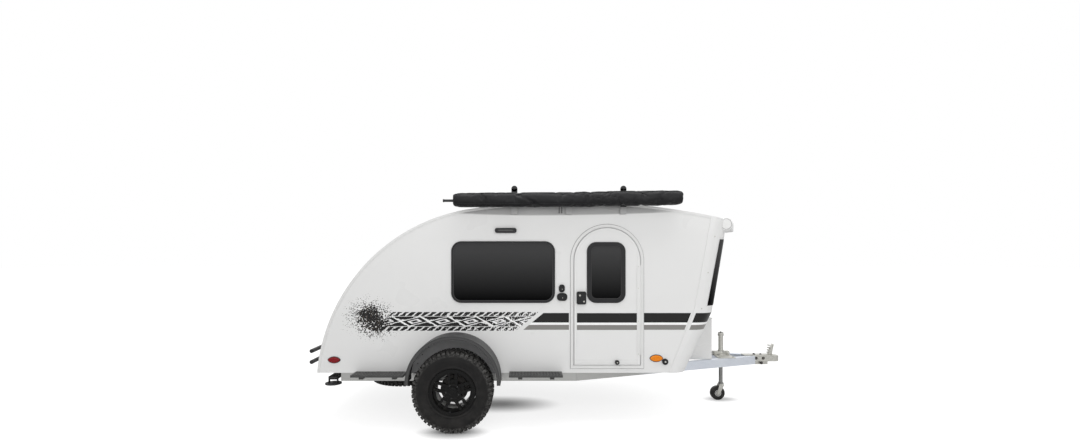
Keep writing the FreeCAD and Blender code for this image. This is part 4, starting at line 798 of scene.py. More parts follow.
def makeValve(shape, centre, axis, out):
    reach, low, high = wheelBits["valve"]
    foot = centre + Matrix.Rotation(wheelBits["valveTurn"], 3, axis) @ (out * reach)
    addRod(shape, foot + axis * low, foot + axis * (high - 0.012), 0.0055, 16, 0.0040)
    addRod(shape, foot + axis * (high - 0.013), foot + axis * high, 0.0045, 12)


def makeBarrel(shape, centre, axis, out):
    low, high, radius = wheelBits["barrel"]
    inner = radius - 0.001
    addTurned(shape, [(low, radius), (high, radius), (high, inner), (low, inner)], centre, axis, 64,
              closed=True)


for side, node, axis in wheels:
    for name, build, material, width in (
            ("wheelNuts", makeNuts, "blackChrome", 0.0006), ("centreCap", makeCentreCap, "rimSatin", 0),
            ("valve", makeValve, "sealRubber", 0.0006), ("rimBarrel", makeBarrel, "barrelGrey", 0)):
        onePiece(name + side, lambda shape: build(shape, middle(node), axis, outOf(axis)), material,
                 "rim_black", bodyOf[node], width=width, segments=1)
print("wheel fittings made")


# ---- awning: padded bag on its rail, with brackets, end pole and straps
bag = {
    "shrink": 0.006, "voxel": 0.0095, "pressure": 2.0, "slack": -0.018, "frames": 20, "reach": 0.011,
    "rings": 96, "around": 40, "square": 2.6, "sag": 0.004, "height": 0.126, "rise": 0.024, "end": 0.015,
    # each gathered end: how much of the section is left at its tip, what comes back, and over what share
    "tips": ((0.80, 0.20, 0.035), (0.84, 0.16, 0.03)),
    # each fold: place along the bag, width, slant and depth
    "folds": ((0.55, 0.18, 0.75, 0.015), (0.63, 0.16, 0.85, 0.017), (0.71, 0.18, 0.80, 0.015),
              (0.87, 0.12, 0.55, 0.012), (0.32, 0.26, 0.30, 0.006), (0.12, 0.12, 0.40, 0.006)),
    "held": 0.045, "heldEnds": 0.03, "notch": 0.018, "notchFrom": 0.62, "notchSpan": 0.38, "notchLength": 0.05,
    "ragged": 0.010, "raggedLength": 0.03,
}


def shapeBag(shape):
    # tube of rings along X: rounded-square section, gathered ends, diagonal folds towards the front end
    size = bagHigh - bagLow
    length = size.x - 2 * bag["end"]
    halfY, halfZ = (size.y - 2 * bag["shrink"]) / 2, bag["height"] / 2
    first = bmesh.ops.create_circle(shape, cap_ends=True, radius=1.0, segments=bag["around"],
                                    matrix=Matrix.Rotation(math.radians(90), 4, "Y"))["verts"]
    face = first[0].link_faces[0]
    for step in range(bag["rings"]):
        face = extrudeFace(shape, face)
        bmesh.ops.translate(shape, verts=face.verts, vec=(length / bag["rings"], 0, 0))
    bmesh.ops.remove_doubles(shape, verts=shape.verts, dist=0.00001)
    for v in shape.verts:
        share, angle, power = v.co.x / length, math.atan2(v.co.z, v.co.y), bag["square"]
        radius = (abs(math.cos(angle)) ** power + abs(math.sin(angle)) ** power) ** (-1 / power)
        ends = 1.0
        for (tip, rest, reach), inwards in zip(bag["tips"], (share, 1 - share)):
            ends *= min(1.0, tip + rest * math.sin(min(1.0, inwards / reach) * math.pi / 2))
        radius *= ends
        push = 0.0
        for at, width, slant, depth in bag["folds"]:
            off = (share - at) * length + slant * 0.30 * math.sin(angle) + 0.02 * math.sin(3 * angle + at * 20)
            push += depth * math.exp(-(off / (width * 0.16)) ** 2) * math.cos(off / (width * 0.075))
        push *= 1.0 if v.co.y < 0.3 else 0.3
        v.co.x += bagLow.x + bag["end"]
        v.co.y = math.cos(angle) * (halfY * radius - push)
        v.co.y += bagMiddle.y
        v.co.z = math.sin(angle) * (halfZ * radius - push * 0.7) - bag["sag"] * math.sin(math.pi * share)
        v.co.z += bag["rise"] * (share - 0.5)
        v.co.z += bagMiddle.z


def bakeModifiers(piece):
    mesh = bpy.data.meshes.new_from_object(piece.evaluated_get(bpy.context.evaluated_depsgraph_get()))
    piece.modifiers.clear()
    old, piece.data = piece.data, mesh
    bpy.data.meshes.remove(old)


def inflateBag(piece):
    # the cloth swells over its frame; it stays put along the rail behind it
    remesh = piece.modifiers.new("evenGrid", "REMESH")
    remesh.mode = "VOXEL"
    remesh.voxel_size = bag["voxel"]
    bakeModifiers(piece)
    start = [v.co.copy() for v in piece.data.vertices]
    held = piece.vertex_groups.new(name="rail")
    for v in piece.data.vertices:
        behind = v.co.y > bagMiddle.y + bag["held"]
        nearEnd = v.co.x < bagLow.x + bag["heldEnds"] or v.co.x > bagHigh.x - bag["heldEnds"]
        held.add([v.index], 1.0 if behind or nearEnd else 0.0, "REPLACE")
    cloth = piece.modifiers.new("swell", "CLOTH")
    cloth.settings.quality = 6
    cloth.settings.mass = 0.25
    cloth.settings.use_pressure = True
    cloth.settings.uniform_pressure_force = bag["pressure"]
    cloth.settings.shrink_min = bag["slack"]
    cloth.settings.effector_weights.gravity = 0
    cloth.settings.vertex_group_mass = "rail"
    cloth.settings.bending_stiffness = 0.6
    cloth.point_cache.frame_start = 1
    cloth.point_cache.frame_end = bag["frames"]
    for step in range(1, bag["frames"] + 1):
        scene.frame_set(step)
    bakeModifiers(piece)
    low, high = bagLow + Vector((0.002, 0.002, 0.002)), bagHigh - Vector((0.002, 0.002, 0.002))
    for v, was in zip(piece.data.vertices, start):
        move = v.co - was
        if move.length > bag["reach"]:
            move *= bag["reach"] / move.length
        v.co = was + move
        v.co.y = min(max(v.co.y, low.y), high.y)
        v.co.z = min(max(v.co.z, low.z), high.z)
    scene.frame_set(1)


def makeBag():
    piece = onePiece("awningBag", shapeBag, "bagCloth", "bag_fabric", smooth=math.pi)
    inflateBag(piece)
    # pointed corner at the rear end's top and an uneven front end
    for v in piece.data.vertices:
        up = (v.co.z - bagLow.z) / (bagHigh.z - bagLow.z)
        rear = max(0.0, 1 - (v.co.x - bagLow.x) / bag["notchLength"])
        v.co.x -= bag["notch"] * rear * max(0.0, up - bag["notchFrom"]) / bag["notchSpan"]
        front = max(0.0, 1 - (bagHigh.x - v.co.x) / bag["raggedLength"])
        v.co.x += bag["ragged"] * front * (0.6 * math.sin(up * 9.0) + 0.4 * math.sin(up * 23.0 + v.co.y * 60.0))
    piece.data.shade_smooth()
    finer = piece.modifiers.new("finer", "SUBSURF")
    finer.levels = finer.render_levels = 1
    bakeModifiers(piece)
    piece.data.materials.clear()
    piece.data.materials.append(paint["bagCloth"])
    piece.data.shade_smooth()
    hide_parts("awning_bag")
    return piece


awningBag = makeBag()
print("awning bag made")

awning = {"stems": (0.550, 1.055, 1.561), "domes": (0.550, 1.561), "domeHalf": 0.028, "stem": 0.008,
          "poleUp": 0.062, "pole": 0.012, "piping": 0.0035, "seamUp": 0.030, "seamBack": 0.040, "points": 60,
          "straps": (0.962, 0.986), "strapWidth": 0.006, "foot": 0.040, "stemUp": 0.012, "stemDown": 0.03}
bracketLow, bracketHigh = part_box("awning_brackets")
# the stems stand just behind the bag
stemY = bagHigh.y + 0.001


def makeBrackets(shape):
    half, back = awning["domeHalf"], stemY + awning["stem"]
    for offset in awning["stems"]:
        x = fromAxle(offset)
        domed = offset in awning["domes"]
        top = bracketHigh.z - half if domed else bagHigh.z - awning["stemDown"]
        addBlock(shape, (x - half, stemY, bagLow.z + awning["stemUp"]), (x + half, back, top))
        if domed:
            addRod(shape, (x, stemY, top), (x, back, top), half, 32)
            addBolt(shape, (x, stemY, top + 0.004), outwards, 0.008, 0.007)
    start = Vector((bracketLow.x, bagMiddle.y, bagLow.z + awning["poleUp"]))
    addRod(shape, start, (bagLow.x + 0.05, start.y, start.z), awning["pole"], 24)
    addRod(shape, start, start + Vector((0.012, 0, 0)), awning["pole"] + 0.002, 24)


def makeAwningFeet(shape):
    wall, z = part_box("side_wall_right")[0].y, bracketLow.z
    half, face = awning["domeHalf"], stemY + awning["stem"]
    for x in map(fromAxle, awning["stems"]):
        addBlock(shape, (x - half, face, z), (x + half, wall, z + awning["foot"]))
        addBlock(shape, (x - half, stemY, z), (x + half, face, bagLow.z + awning["stemUp"]))
        for step in (-0.015, 0.015):
            addDome(shape, (x + step, face, z + 0.018), outwards, 0.006, 0.004)


def makeTies(shape):
    y, z = bagHigh.y + 0.005, bagLow.z
    for x in map(fromAxle, awning["straps"]):
        end = x + awning["strapWidth"]
        addBlock(shape, (x, y - 0.001, z - 0.040), (end, y + 0.001, z + 0.020))
        addBlock(shape, (x - 0.001, y - 0.002, z - 0.046), (end + 0.001, y + 0.002, z - 0.036))


def addLine(shape, y, z, towards, radius):
    # round line along the bag, through the points where rays from outside meet its skin
    skin, count, points = skinOf(awningBag), awning["points"], []
    for index in range(count):
        x = bagLow.x + 0.03 + (bagHigh.x - bagLow.x - 0.06) * index / (count - 1)
        place, normal = meet(skin, (x, y, z), towards)
        if place is not None:
            points.append(place + normal * awning["piping"] * 0.4)
    ahead = (points[1] - points[0]).normalized()
    place = Matrix.Translation(points[0]) @ ahead.to_track_quat("Z", "Y").to_matrix().to_4x4()
    ring = bmesh.ops.create_circle(shape, cap_ends=True, radius=radius, segments=8, matrix=place)["verts"]
    face = ring[0].link_faces[0]
    for here, there in zip(points, points[1:]):
        face = extrudeFace(shape, face)
        bmesh.ops.translate(shape, verts=face.verts, vec=there - here)


def makePiping(shape):
    addLine(shape, bagMiddle.y - awning["seamBack"], bagHigh.z + 0.1, (0, 0, -1), awning["piping"])
    addLine(shape, bagLow.y - 0.1, bagLow.z + awning["seamUp"], (0, 1, 0), awning["piping"] * 0.6)


brackets = onePiece("awningBrackets", makeBrackets, "steelBlack", "black_steel", width=0.001)
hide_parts("awning_brackets")
# the feet are painted the grey of the painted shade band under the bag
onePiece("awningFeet", makeAwningFeet, "bagShadeGrey", "black_steel", width=0.0015)
onePiece("awningTies", makeTies, "webbing", "bag_fabric", width=0.0004, segments=1)
onePiece("awningPiping", makePiping, "webbing", "bag_fabric", smooth=math.radians(80))
print("awning fittings made")


# ---- doors: fittings by finish, stop ring, beads, latch and hinge screws
def refineShare(node, suffix, keep, material, width):
    # the solids of a node whose middle passes the test
    shape = mergedCopy(node)
    left = set(shape.verts)
    while left:
        island, edge = set(), [left.pop()]
        while edge:
            v = edge.pop()
            island.add(v)
            edge += [item for link in v.link_edges for item in link.verts
                     if item not in island and item in left]
            left -= set(edge)
        if not keep(sum((v.co for v in island), Vector()) / len(island)):
            bmesh.ops.delete(shape, geom=list(island), context="VERTS")
    refine(node, shape, material, width, suffix)


doorLow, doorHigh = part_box("door_panel_right")
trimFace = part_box("door_trims")[0].y
# rings that follow the door's arch: outset from its edge, width, and Y from and to
door = {
    "face": doorLow.y, "cornerRadius": 0.006, "hingeFrom": doorHigh.x - 0.035,
    "stop": (0.007, 0.025, (-0.826, -0.8185)), "seal": (0.0045, 0.0030, (-0.838, -0.853)),
    "trimSeam": (0.0385, 0.0040, (-0.849, -0.8518)),
    "beads": ((0.0155, 0.0025, (trimFace + 0.001, trimFace - 0.0018)),
              (0.0335, 0.003, (trimFace + 0.001, trimFace - 0.0012))),
    "line": (-0.022, 0.0022, (doorLow.y + 0.0005, doorLow.y - 0.0012)), "sills": (0.042, 0.012),
    "glassLip": ((0.004, 0.05, 0.006, 0.001, -0.0035), (0.074, 0.083, 0.004, 0.0, -0.0065)),
    "latch": (1.172, 1.190), "latchFace": doorLow.y - 0.022, "lock": (-0.015, 0.024, 0.0085),
    "knob": (0.022, -0.032, 0.0078), "screws": (0.667, 0.973, 1.279, 1.480), "inset": 0.016,
    "catch": (1.503, 0.592), "catchOut": 0.0298,
}


def archBand(shape, outset, width, span):
    across, high = doorHigh.x - doorLow.x + 2 * outset, doorHigh.z - doorLow.z + 2 * outset
    addBand(shape, (doorX, (doorLow.z + doorHigh.z) / 2), (across, high),
            (door["cornerRadius"], across / 2 - 0.0005), width, span, 28)


def makeTrimBeads(shape):
    for bead in door["beads"]:
        archBand(shape, *bead)


def makeDoorLines(shape):
    archBand(shape, *door["line"])
    for rise in door["sills"]:
        addBlock(shape, (doorLow.x + door["inset"], door["face"] - 0.0018, doorLow.z + rise),
                 (doorHigh.x - door["inset"], door["face"] + 0.0005, doorLow.z + rise + 0.004))


def addLips(shape, node, lips):
    # each lip: growth of the pane's outline, corner radius, width, and Y from and to
    for grow, radius, width, start, end in lips:
        centre, size, face = faceOf(node, grow)
        addBand(shape, centre, size, radius, width, (face + start, face + end))


def makeLatch(shape):
    x, z = fromAxle(door["latch"][0]), door["latch"][1]
    face = door["latchFace"]
    addBand(shape, (x, z), (0.078, 0.109), 0.013, 0.004, (face + 0.001, face - 0.0015))
    addBand(shape, (x + 0.004, z - 0.004), (0.046, 0.062), 0.008, 0, (face + 0.001, face - 0.004))
    addBand(shape, (x + 0.004, z - 0.004), (0.034, 0.050), 0.006, 0.003, (face - 0.003, face - 0.0055))


def makeDoorMetal(shape):
    x, z = fromAxle(door["latch"][0]), door["latch"][1]
    face = door["latchFace"]
    for dx, dz, radius in (door["lock"], door["knob"]):
        addTurned(shape, [(-0.001, 0.0), (-0.001, radius), (0.0045, radius), (0.0062, radius - 0.0015),
                          (0.0056, radius - 0.003), (0.0056, 0.0)], (x + dx, face, z + dz), outwards, 28)
    x, z = x + door["lock"][0], z + door["lock"][1]
    addBlock(shape, (x - 0.0006, face - 0.0066, z - 0.004), (x + 0.0006, face - 0.005, z + 0.004))
    for z in door["screws"]:
        addDome(shape, (doorHigh.x - door["inset"], door["face"] - 0.0035, z), outwards, 0.0045, 0.002)
    x, z = fromAxle(door["catch"][0]), door["catch"][1]
    addDome(shape, (x, door["face"] - door["catchOut"], z), outwards, 0.006, 0.002)


for node in ("door_fittings_right", "door_fittings_left"):
    refineShare(node, "Hinge", lambda c: c.x > door["hingeFrom"], "trimWhite", 0.0006)
    refineShare(node, "Black", lambda c: c.x <= door["hingeFrom"], "frameBlack", 0.003)
bothSides("doorStop", lambda shape: archBand(shape, *door["stop"]), "greyGasket", "trim_white")
bothSides("doorSeal", lambda shape: archBand(shape, *door["seal"]), "greyGasket", "trim_white")
bothSides("doorTrimSeam", lambda shape: archBand(shape, *door["trimSeam"]), "seamGrey", "trim_white")
bothSides("doorTrimBead", makeTrimBeads, "trimWhite", "trim_white", width=0.0006)
bothSides("doorLines", makeDoorLines, "trimWhite", "wall", "door_right", width=0.0006)
bothSides("doorGlassLip", lambda shape: addLips(shape, "door_pane_right", door["glassLip"]), "gasketBlack",
          "black_frame", "door_right", width=0.001)
bothSides("latchPaddle", makeLatch, "frameBlack", "black_frame", "door_right", width=0.0008)
bothSides("doorMetal", makeDoorMetal, "zincPlate", "zinc_steel", "door_right")
print("doors finished")


# ---- side windows, lamps and ports
windowLips = ((0.004, 0.077, 0.007, 0.001, -0.004), (0.038, 0.094, 0.004, -0.001, -0.0062))
lamps = {"back": -0.8495, "rim": 0.006, "ribs": 5, "ribRadius": 0.0022, "ribSpan": 0.64, "endRib": 0.20,
         "rib": 0.34, "porchInset": (0.060, 0.030)}
lensOf = {"red_markers": ("redLens", "red_lens"), "amber_markers": ("amberLens", "amber_lens")}


def addPointed(shape, node, grow, layers, steps=48):
    # plate with two pointed ends, built up of layers: share of its size, and Y
    (middleX, middleZ), size, face = faceOf(node)
    halfX, halfZ = size[0] / 2 + grow, size[1] / 2 + grow
    face = shape.faces.new([shape.verts.new((0, 0, 0)) for step in range(steps)])
    for index, (share, y) in enumerate(layers):
        if index:
            face = extrudeFace(shape, face)
        for step, v in enumerate(face.verts):
            turn = math.tau * step / steps
            rise = math.copysign(abs(math.sin(turn)) ** 1.25, math.sin(turn))
            v.co = (middleX + math.cos(turn) * halfX * share, y, middleZ + rise * halfZ * share)


def makeLampRims(shape):
    for node in lensOf:
        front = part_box(node)[0].y
        addPointed(shape, node, lamps["rim"],
                   ((1.0, lamps["back"]), (1.0, front + 0.010), (0.96, front + 0.008)))


def makeLens(shape, node):
    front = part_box(node)[0].y
    addPointed(shape, node, 0.0,
               ((1.0, lamps["back"]), (1.0, front + 0.006), (0.93, front + 0.002), (0.80, front)))


def makeLensRibs(shape, node):
    (x, z), (width, height), front = faceOf(node)
    last = lamps["ribs"] - 1
    for index in range(lamps["ribs"]):
        here = x + width * lamps["ribSpan"] * (index / last - 0.5)
        y, rise = front + 0.0002, height * lamps["endRib" if index in (0, last) else "rib"]
        addRod(shape, (here, y, z - rise), (here, y, z + rise), lamps["ribRadius"], 10)


def makePorchLens(shape):
    centre, size, front = faceOf("porch_lights")
    across, high = lamps["porchInset"]
    addBand(shape, centre, (size[0] - across, size[1] - high), 0.007, 0, (front + 0.002, front - 0.001))


bothSides("windowLip", lambda shape: addLips(shape, "side_window_panes", windowLips), "gasketBlack",
          "black_frame", width=0.001)
bothSides("lampRims", makeLampRims, "gasketBlack", "black_plastic", width=0.001)
for node, (material, slot) in lensOf.items():
    for piece in bothSides(camel(node), lambda shape: makeLens(shape, node), material, slot):
        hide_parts(node)
    bothSides(node.split("_")[0] + "Ribs", lambda shape: makeLensRibs(shape, node), material, slot)
bothSides("porchLens", makePorchLens, "smokeLens", "black_plastic", width=0.001)

# the ports are on the right wall only
ports = {"face": -0.866, "upper": (0.991, 1.278), "lower": (0.994, 1.198), "round": (1.953, 0.595),
         "roundFace": -0.8678}


def portAt(name):
    return fromAxle(ports[name][0]), ports[name][1]


def makePortCaps(shape):
    face = ports["face"]
    x, z = portAt("upper")
    addBand(shape, (x, z), (0.041, 0.058), 0.019, 0.004, (face + 0.001, face - 0.002))
    addBlock(shape, (x - 0.0035, face - 0.004, z - 0.016), (x + 0.0035, face + 0.001, z + 0.016))
    x, z = portAt("lower")
    addBand(shape, (x, z), (0.083, 0.058), 0.026, 0.004, (face + 0.001, face - 0.002))
    addBand(shape, (x, z), (0.050, 0.034), 0.014, 0, (face + 0.001, face - 0.003))
    addBlock(shape, (x - 0.012, face - 0.004, z + 0.024), (x + 0.012, face + 0.001, z + 0.031))
    x, z = portAt("round")
    addTurned(shape, [(0.0, 0.019), (0.003, 0.0185), (0.003, 0.0155), (0.0, 0.015)], (x, ports["roundFace"], z),
              outwards, 32, closed=True)


def makePortMetal(shape):
    x, z = portAt("round")
    addTurned(shape, [(-0.001, 0.0), (-0.001, 0.0085), (0.003, 0.0085), (0.0045, 0.0065), (0.0045, 0.0)],
              (x, ports["roundFace"], z), outwards, 24)
    for name in ("upper", "lower"):
        x, z = portAt(name)
        addDome(shape, (x + 0.004, ports["face"] - 0.003, z - 0.008), outwards, 0.004, 0.0015)


onePiece("portCaps", makePortCaps, "frameBlack", "black_plastic", width=0.0006)
onePiece("portMetal", makePortMetal, "zincPlate", "black_plastic", width=0.0006)
print("windows, lamps and ports finished")


# ---- front cap: screws, the roll under its brow and a fine groove near each end of the roll
cap = {"screws": ((2.417, 1.761), (2.354, 1.424), (2.293, 1.089)), "screwRadius": 0.0065,
       "roll": (2.534, 1.879), "rollRadius": 0.060, "outside": -1.2, "groove": (0.013, 0.009)}
capSkin = skinOf(frame["nodes"]["front_cap"])


def makeCapScrews(shape):
    for x, z in cap["screws"]:
        place, normal = meet(capSkin, (fromAxle(x), cap["outside"], z), (0, 1, 0))
        addDome(shape, place, normal, cap["screwRadius"], 0.003)


rollX, rollZ = fromAxle(cap["roll"][0]), cap["roll"][1]
rollEnd = 0.003 - meet(capSkin, (rollX, cap["outside"], rollZ), (0, 1, 0))[0].y


def makeRoll(shape):
    addRod(shape, (rollX, -rollEnd, rollZ), (rollX, rollEnd, rollZ), cap["rollRadius"], 64)


def makeGroove(shape):
    outer, inner = (cap["rollRadius"] - inset for inset in reversed(cap["groove"]))
    for side in (-1, 1):
        addTurned(shape, [(0.0, inner), (0.0015, inner), (0.0015, outer), (0.0, outer)],
                  (rollX, side * (rollEnd - 0.001), rollZ), (0, side, 0), 64, closed=True)


bothSides("capScrews", makeCapScrews, "zincPlate", "zinc_steel")
onePiece("browRoll", makeRoll, "whiteMoulding", "cap", width=0.008, segments=4)
onePiece("browGroove", makeGroove, "seamGrey", "cap")


# ---- fenders: dark lines painted on the lip as the shade of its rolled edges, a lighter grey back plate inside the arch as painted light, and rivets along it
fenderLow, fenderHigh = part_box("fenders")
fender = {"radius": (fenderHigh.x - fenderLow.x) / 2, "lines": ((0.006, 0.0035), (0.028, 0.0030)),
          "sink": 0.0006, "liner": 0.007, "linerY": -0.8565, "linerFoot": 0.494,
          "rivets": 13, "rivetInset": 0.045, "rivetY": -0.8572}
fenderCentre = Vector(((fenderLow.x + fenderHigh.x) / 2, 0, fenderHigh.z - fender["radius"]))
fenderX, fenderZ = fenderCentre.x, fenderCentre.z

# the lip sinks a little, so the lines on it stay within the fender's box
for v in refined["fenders"].data.vertices:
    if abs(v.co.y) > -fenderLow.y - 0.0002:
        v.co.y -= math.copysign(fender["sink"], v.co.y)


# painted shade: two dark lines on the lip, where its rolled edge and its face fall into shade
def makeFenderShadeLines(shape):
    face = fenderLow.y
    for inset, width in fender["lines"]:
        radius = fender["radius"] - inset
        points = [shape.verts.new((fenderX + r, y, fenderZ)) for y, r in (
            (face + 0.002, radius), (face, radius), (face, radius - width), (face + 0.002, radius - width))]
        bmesh.ops.spin(shape, geom=[shape.faces.new(points)], cent=(fenderX, 0, fenderZ), axis=(0, 1, 0),
                       angle=-math.pi, steps=72)


def makeLiner(shape):
    y, radius = fender["linerY"], fender["radius"] - fender["liner"]
    addRod(shape, (fenderX, y + 0.003, fenderZ), (fenderX, y - 0.0008, fenderZ), radius, 96)
    cut = bmesh.ops.bisect_plane(shape, geom=shape.verts[:] + shape.edges[:] + shape.faces[:],
                                 plane_co=(0, 0, fender["linerFoot"]), plane_no=(0, 0, -1),
                                 clear_outer=True)["geom_cut"]
    bmesh.ops.edgeloop_fill(shape, edges=[item for item in cut if isinstance(item, bmesh.types.BMEdge)])


def makeRivets(shape):
    radius = fender["radius"] - fender["rivetInset"]
    for index in range(fender["rivets"]):
        turn = math.pi * (index + 0.5) / fender["rivets"]
        addDome(shape, (fenderX + math.cos(turn) * radius, fender["rivetY"], fenderZ + math.sin(turn) * radius),
                outwards, 0.005, 0.0028)


# the liner's lighter grey is painted light inside the shaded arch
bothSides("fenderLiner", makeLiner, "linerPaintedLight", "black_plastic")
bothSides("fenderShadeLines", makeFenderShadeLines, "gasketBlack", "black_plastic", width=0.0006)
bothSides("fenderRivets", makeRivets, "steelBlack", "black_plastic")
print("cap and fenders finished")


# ---- side boards: grip studs and bolt heads
boardLow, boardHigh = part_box("side_steps")
boards = {"spans": ((-0.928, -0.450), (0.503, 0.990)), "rows": 6, "studs": 16, "stud": (0.016, 0.0025),
          "rowsTo": -0.868, "arms": (-0.840, -0.540, 0.605, 0.895), "bolts": (-0.90, -0.97), "boltZ": 0.460}


def makeGrip(shape):
    length, half = boards["stud"]
    foot, top = boardHigh.z - 0.0006, boardHigh.z + 0.0016
    rows, studs, first = boards["rows"], boards["studs"], boardLow.y + 0.012
    for start, end in boards["spans"]:
        for row in range(rows):
            y = first + (boards["rowsTo"] - first) * row / (rows - 1)
            for step in range(studs):
                x = fromAxle(start) + 0.016 + (end - start - 0.032) * (step + 0.25 * (row % 2)) / studs
                addBlock(shape, (x, y - half, foot), (x + length, y + half, top))


def makeBoardBolts(shape):
    for x in boards["arms"]:
        for y in boards["bolts"]:
            addBolt(shape, (fromAxle(x), y, boards["boltZ"]), (0, 0, -1), 0.0065, 0.006)


bothSides("boardGrip", makeGrip, "steelBlack", "black_steel")
bothSides("boardBolts", makeBoardBolts, "zincPlate", "black_steel")
print("side boards finished")


# ---- tongue: jack collar and clamps, caster hub and nuts, coupler bolts, latch teeth
jack = {"x": 2.800, "top": 0.738, "clampReach": 0.068, "clampRadius": 0.019, "clampHalf": 0.034,
        "clampZ": 0.514, "plateZ": 0.4985, "plateBolts": 0.165, "ringZ": 0.536}
caster = {"hub": 0.025, "nuts": 0.036}
hitch = {"bolts": ((3.164, 0.466), (3.242, 0.466), (3.223, 0.414)), "face": 0.057,
         "topBolts": ((3.164, 0.011, 0.012), (3.236, 0.009, 0.010)), "topZ": 0.498, "teeth": 4, "pitch": 0.026}
casterCentre = middle("jack_wheel")
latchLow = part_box("coupler_latch")[0]


def makeJackCollar(shape):
    x, top = fromAxle(jack["x"]), jack["top"]
    addTurned(shape, [(-0.016, 0.0255), (-0.016, 0.0295), (-0.004, 0.0295), (0.0, 0.027), (0.0, 0.0)],
              (x, 0, top + 0.001), upwards, 40)
    addRod(shape, (x, 0, top), (x, 0, top + 0.010), 0.009, 6)
    for side in (-1, 1):
        addRod(shape, (x + side * 0.024, 0, top - 0.030), (x + side * 0.034, 0, top - 0.030), 0.005, 16)


def makeJackClamps(shape):
    x, z, half = fromAxle(jack["x"]), jack["clampZ"], jack["clampHalf"]
    for centre in (x - jack["clampReach"], x + jack["clampReach"]):
        addRod(shape, (centre, -half, z), (centre, half, z), jack["clampRadius"], 28)
        for side in (-1, 1):
            addBolt(shape, (centre, side * half, z), (0, side, 0), 0.009, 0.008)
            addBolt(shape, (centre, side * jack["plateBolts"], jack["plateZ"]), upwards, 0.009, 0.009)
    addTurned(shape, [(0.0, 0.0253), (0.0, 0.031), (0.012, 0.031), (0.016, 0.0253)], (x, 0, jack["ringZ"]),
              upwards, 40, closed=True)


def makeCasterHub(shape):
    for side in (-1, 1):
        facing = Vector((0, side, 0))
        addTurned(shape, [(-0.002, 0.0), (-0.002, 0.034), (0.0008, 0.034), (0.0012, 0.031), (-0.0004, 0.027),
                          (0.0004, 0.020), (0.0014, 0.016), (0.0014, 0.0)],
                  casterCentre + facing * caster["hub"], facing, 40)


def makeCasterNuts(shape):
    for side in (-1, 1):
        addBolt(shape, casterCentre + Vector((0, side * caster["nuts"], 0)), (0, side, 0), 0.010, 0.008)


def makeCouplerBolts(shape):
    for x, z in hitch["bolts"]:
        for side in (-1, 1):
            addBolt(shape, (fromAxle(x), side * (hitch["face"] - 0.001), z), (0, side, 0), 0.012, 0.011)
    for x, radius, height in hitch["topBolts"]:
        addBolt(shape, (fromAxle(x), 0, hitch["topZ"]), upwards, radius, height)


def makeLatchTeeth(shape):
    for index in range(hitch["teeth"]):
        z = latchLow.z + 0.016 + hitch["pitch"] * index
        addBlock(shape, (latchLow.x - 0.012 + 0.003 * index, -0.011, z), (latchLow.x + 0.020, 0.011, z + 0.012))


onePiece("jackCollar", makeJackCollar, "steelBlack", "zinc_steel", width=0.0012)
onePiece("jackClamps", makeJackClamps, "zincPlate", "zinc_steel", width=0.0012)
onePiece("casterHub", makeCasterHub, "barrelGrey", "black_rubber", "jack_wheel")
onePiece("casterNuts", makeCasterNuts, "zincPlate", "zinc_steel", "jack_fork", width=0.0008)
onePiece("couplerBolts", makeCouplerBolts, "drumIron", "zinc_steel", width=0.001)
onePiece("latchTeeth", makeLatchTeeth, "zincPlate", "zinc_steel", width=0.002)
print("tongue finished")


# ---- rear: bolts on the bumper, hatch handles, catches of the tongue box, ribs of the vent lid
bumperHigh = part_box("rear_bumper")[1]
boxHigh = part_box("tongue_box")[1]
lidLow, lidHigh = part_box("vent_lid")
bumper = {"bolts": ((-0.03, 0.440), (-0.03, 0.472), (-0.10, 0.455)), "face": 0.2852}
handles = {"sides": (-0.42, 0.42), "height": 1.02, "plate": 0.030, "bar": 0.055}
catches = (-0.15, 0.15)
ventRibs = 5


def makeBumperBolts(shape):
    for side in (-1, 1):
        for x, z in bumper["bolts"]:
            addBolt(shape, (bumperHigh.x + x, side * bumper["face"], z), (0, side, 0), 0.009, 0.008)


def makeHandles(shape):
    skin, across = skinOf(frame["nodes"]["hatch_panel"]), Vector((0, handles["bar"], 0))
    for y in handles["sides"]:
        place, normal = meet(skin, (-4.0, y, handles["height"]), (1, 0, 0))
        addTurned(shape, [(-0.001, 0.0), (-0.001, handles["plate"]), (0.003, handles["plate"]), (0.006, 0.024),
                          (0.006, 0.0)], place, normal, 40)
        addRod(shape, place + normal * 0.004, place + normal * 0.026, 0.009, 20)
        tip = place + normal * 0.028
        addRod(shape, tip - across, tip + across, 0.0075, 20)


def makeCatches(shape):
    x, z = boxHigh.x, boxHigh.z
    for y in catches:
        addBlock(shape, (x - 0.001, y - 0.022, z - 0.075), (x + 0.004, y + 0.022, z - 0.020))
        addBlock(shape, (x + 0.003, y - 0.014, z - 0.066), (x + 0.009, y + 0.014, z - 0.030))
        addRod(shape, (x + 0.009, y - 0.016, z - 0.031), (x + 0.009, y + 0.016, z - 0.031), 0.004, 16)


def makeVentRibs(shape):
    for index in range(ventRibs):
        y = lidLow.y + 0.05 + (lidHigh.y - lidLow.y - 0.10) * index / (ventRibs - 1)
        addBlock(shape, (lidLow.x + 0.04, y - 0.008, lidHigh.z - 0.002),
                 (lidHigh.x - 0.04, y + 0.008, lidHigh.z + 0.003))


onePiece("bumperBolts", makeBumperBolts, "zincPlate", "black_steel", width=0.0008)
onePiece("hatchHandles", makeHandles, "frameBlack", "black_plastic", "rear_hatch", width=0.0015)
onePiece("boxCatches", makeCatches, "zincPlate", "zinc_steel", width=0.001)
onePiece("ventRibs", makeVentRibs, "whiteMoulding", "cap", "vent_cover", width=0.0025)
print("rear, box and vent finished")


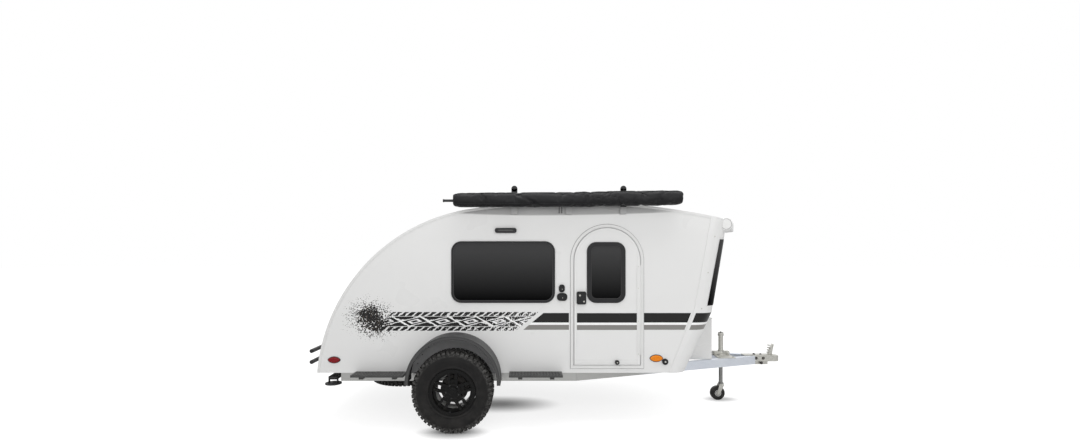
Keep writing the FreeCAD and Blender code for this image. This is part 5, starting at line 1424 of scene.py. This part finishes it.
# ---- floor, sky, lamps and camera
def makeFloor():
    mesh = bpy.data.meshes.new("floor")
    shape = bmesh.new()
    bmesh.ops.create_grid(shape, x_segments=1, y_segments=1, size=60)
    shape.to_mesh(mesh)
    shape.free()
    floor = bpy.data.objects.new("floor", mesh)
    scene.collection.objects.link(floor)
    sockets, place = newMaterial("paleFloor", Roughness=0.9, Specular_IOR_Level=0.0)
    tree = place.tree
    seen = addNode(tree, "ShaderNodeLightPath")["Is Camera Ray"]
    feed(sockets["Base Color"], mixColor(seen, light["floor"], light["floorSeen"]))
    parts, paintedShadow = split(place), 0.0
    # painted shadow: the floor's glow fades out within each ellipse, so the floor reads darker there
    for (x, y), (halfX, halfY), weight in paintedShadows:
        run, rise = (parts["X"] - fromAxle(x)) / halfX, (parts["Y"] - y) / halfY
        near = calc("MAXIMUM", 1.0 - (run * run + rise * rise), 0.0)
        paintedShadow = calc("MAXIMUM", paintedShadow, near ** 1.5 * weight)
    glow = addNode(tree, "ShaderNodeEmission", {
        "Color": (1, 1, 1, 1), "Strength": seen * ((1.0 - paintedShadow) * light["floorGlow"])})[0]
    shader = Signal(tree, tree.nodes["Principled BSDF"].outputs[0])
    both = addNode(tree, "ShaderNodeAddShader", {0: shader, 1: glow})[0]
    feed(tree.nodes["Material Output"].inputs["Surface"], both)
    mesh.materials.append(paint["paleFloor"])


def makeSky():
    world = scene.world = bpy.data.worlds.new("softSky")
    world.use_nodes = True
    ray = addNode(world.node_tree, "ShaderNodeLightPath")
    seen = ray["Is Camera Ray"] | ray["Is Glossy Ray"] | ray["Is Transmission Ray"]
    sockets = world.node_tree.nodes["Background"].inputs
    feed(sockets["Color"], (1, 1, 1, 1))
    feed(sockets["Strength"], remap(seen, 0.0, 1.0, light["sky"], 1.0))


def addItem(name, data, place, turn):
    item = bpy.data.objects.new(name, data)
    item.location = place
    item.rotation_euler = turn
    scene.collection.objects.link(item)
    return item


def makeLamp(name, watts, size, place):
    data = bpy.data.lights.new(name, "AREA")
    data.energy = watts
    data.shape = "RECTANGLE"
    data.size, data.size_y = size
    addItem(name, data, place, (aim - Vector(place)).to_track_quat("-Z", "Y").to_euler())


def makeCamera():
    data = bpy.data.cameras.new("sideCamera")
    data.lens = camera["lens"]
    data.sensor_width = 36
    data.shift_x, data.shift_y = camera["shift"]
    data.clip_end = 200
    scene.camera = addItem("sideCamera", data, (fromAxle(camera["ahead"]), camera["side"], camera["height"]),
                           (math.radians(90), 0, 0))


makeFloor()
makeSky()
makeCamera()
aim = (packedBox[0] + packedBox[1]) / 2
makeLamp("overhead", light["overhead"], (5.0, 3.0), (aim.x, -1.0, 5.2))
makeLamp("frontSoft", light["front"], (7.0, 2.5), (aim.x + 0.4, -6.0, 3.4))
makeLamp("rearSoft", light["rear"], (4.0, 2.5), (aim.x + 1.5, 6.0, 3.6))
scene.view_settings.view_transform = "Standard"
print("floor, light and camera made")
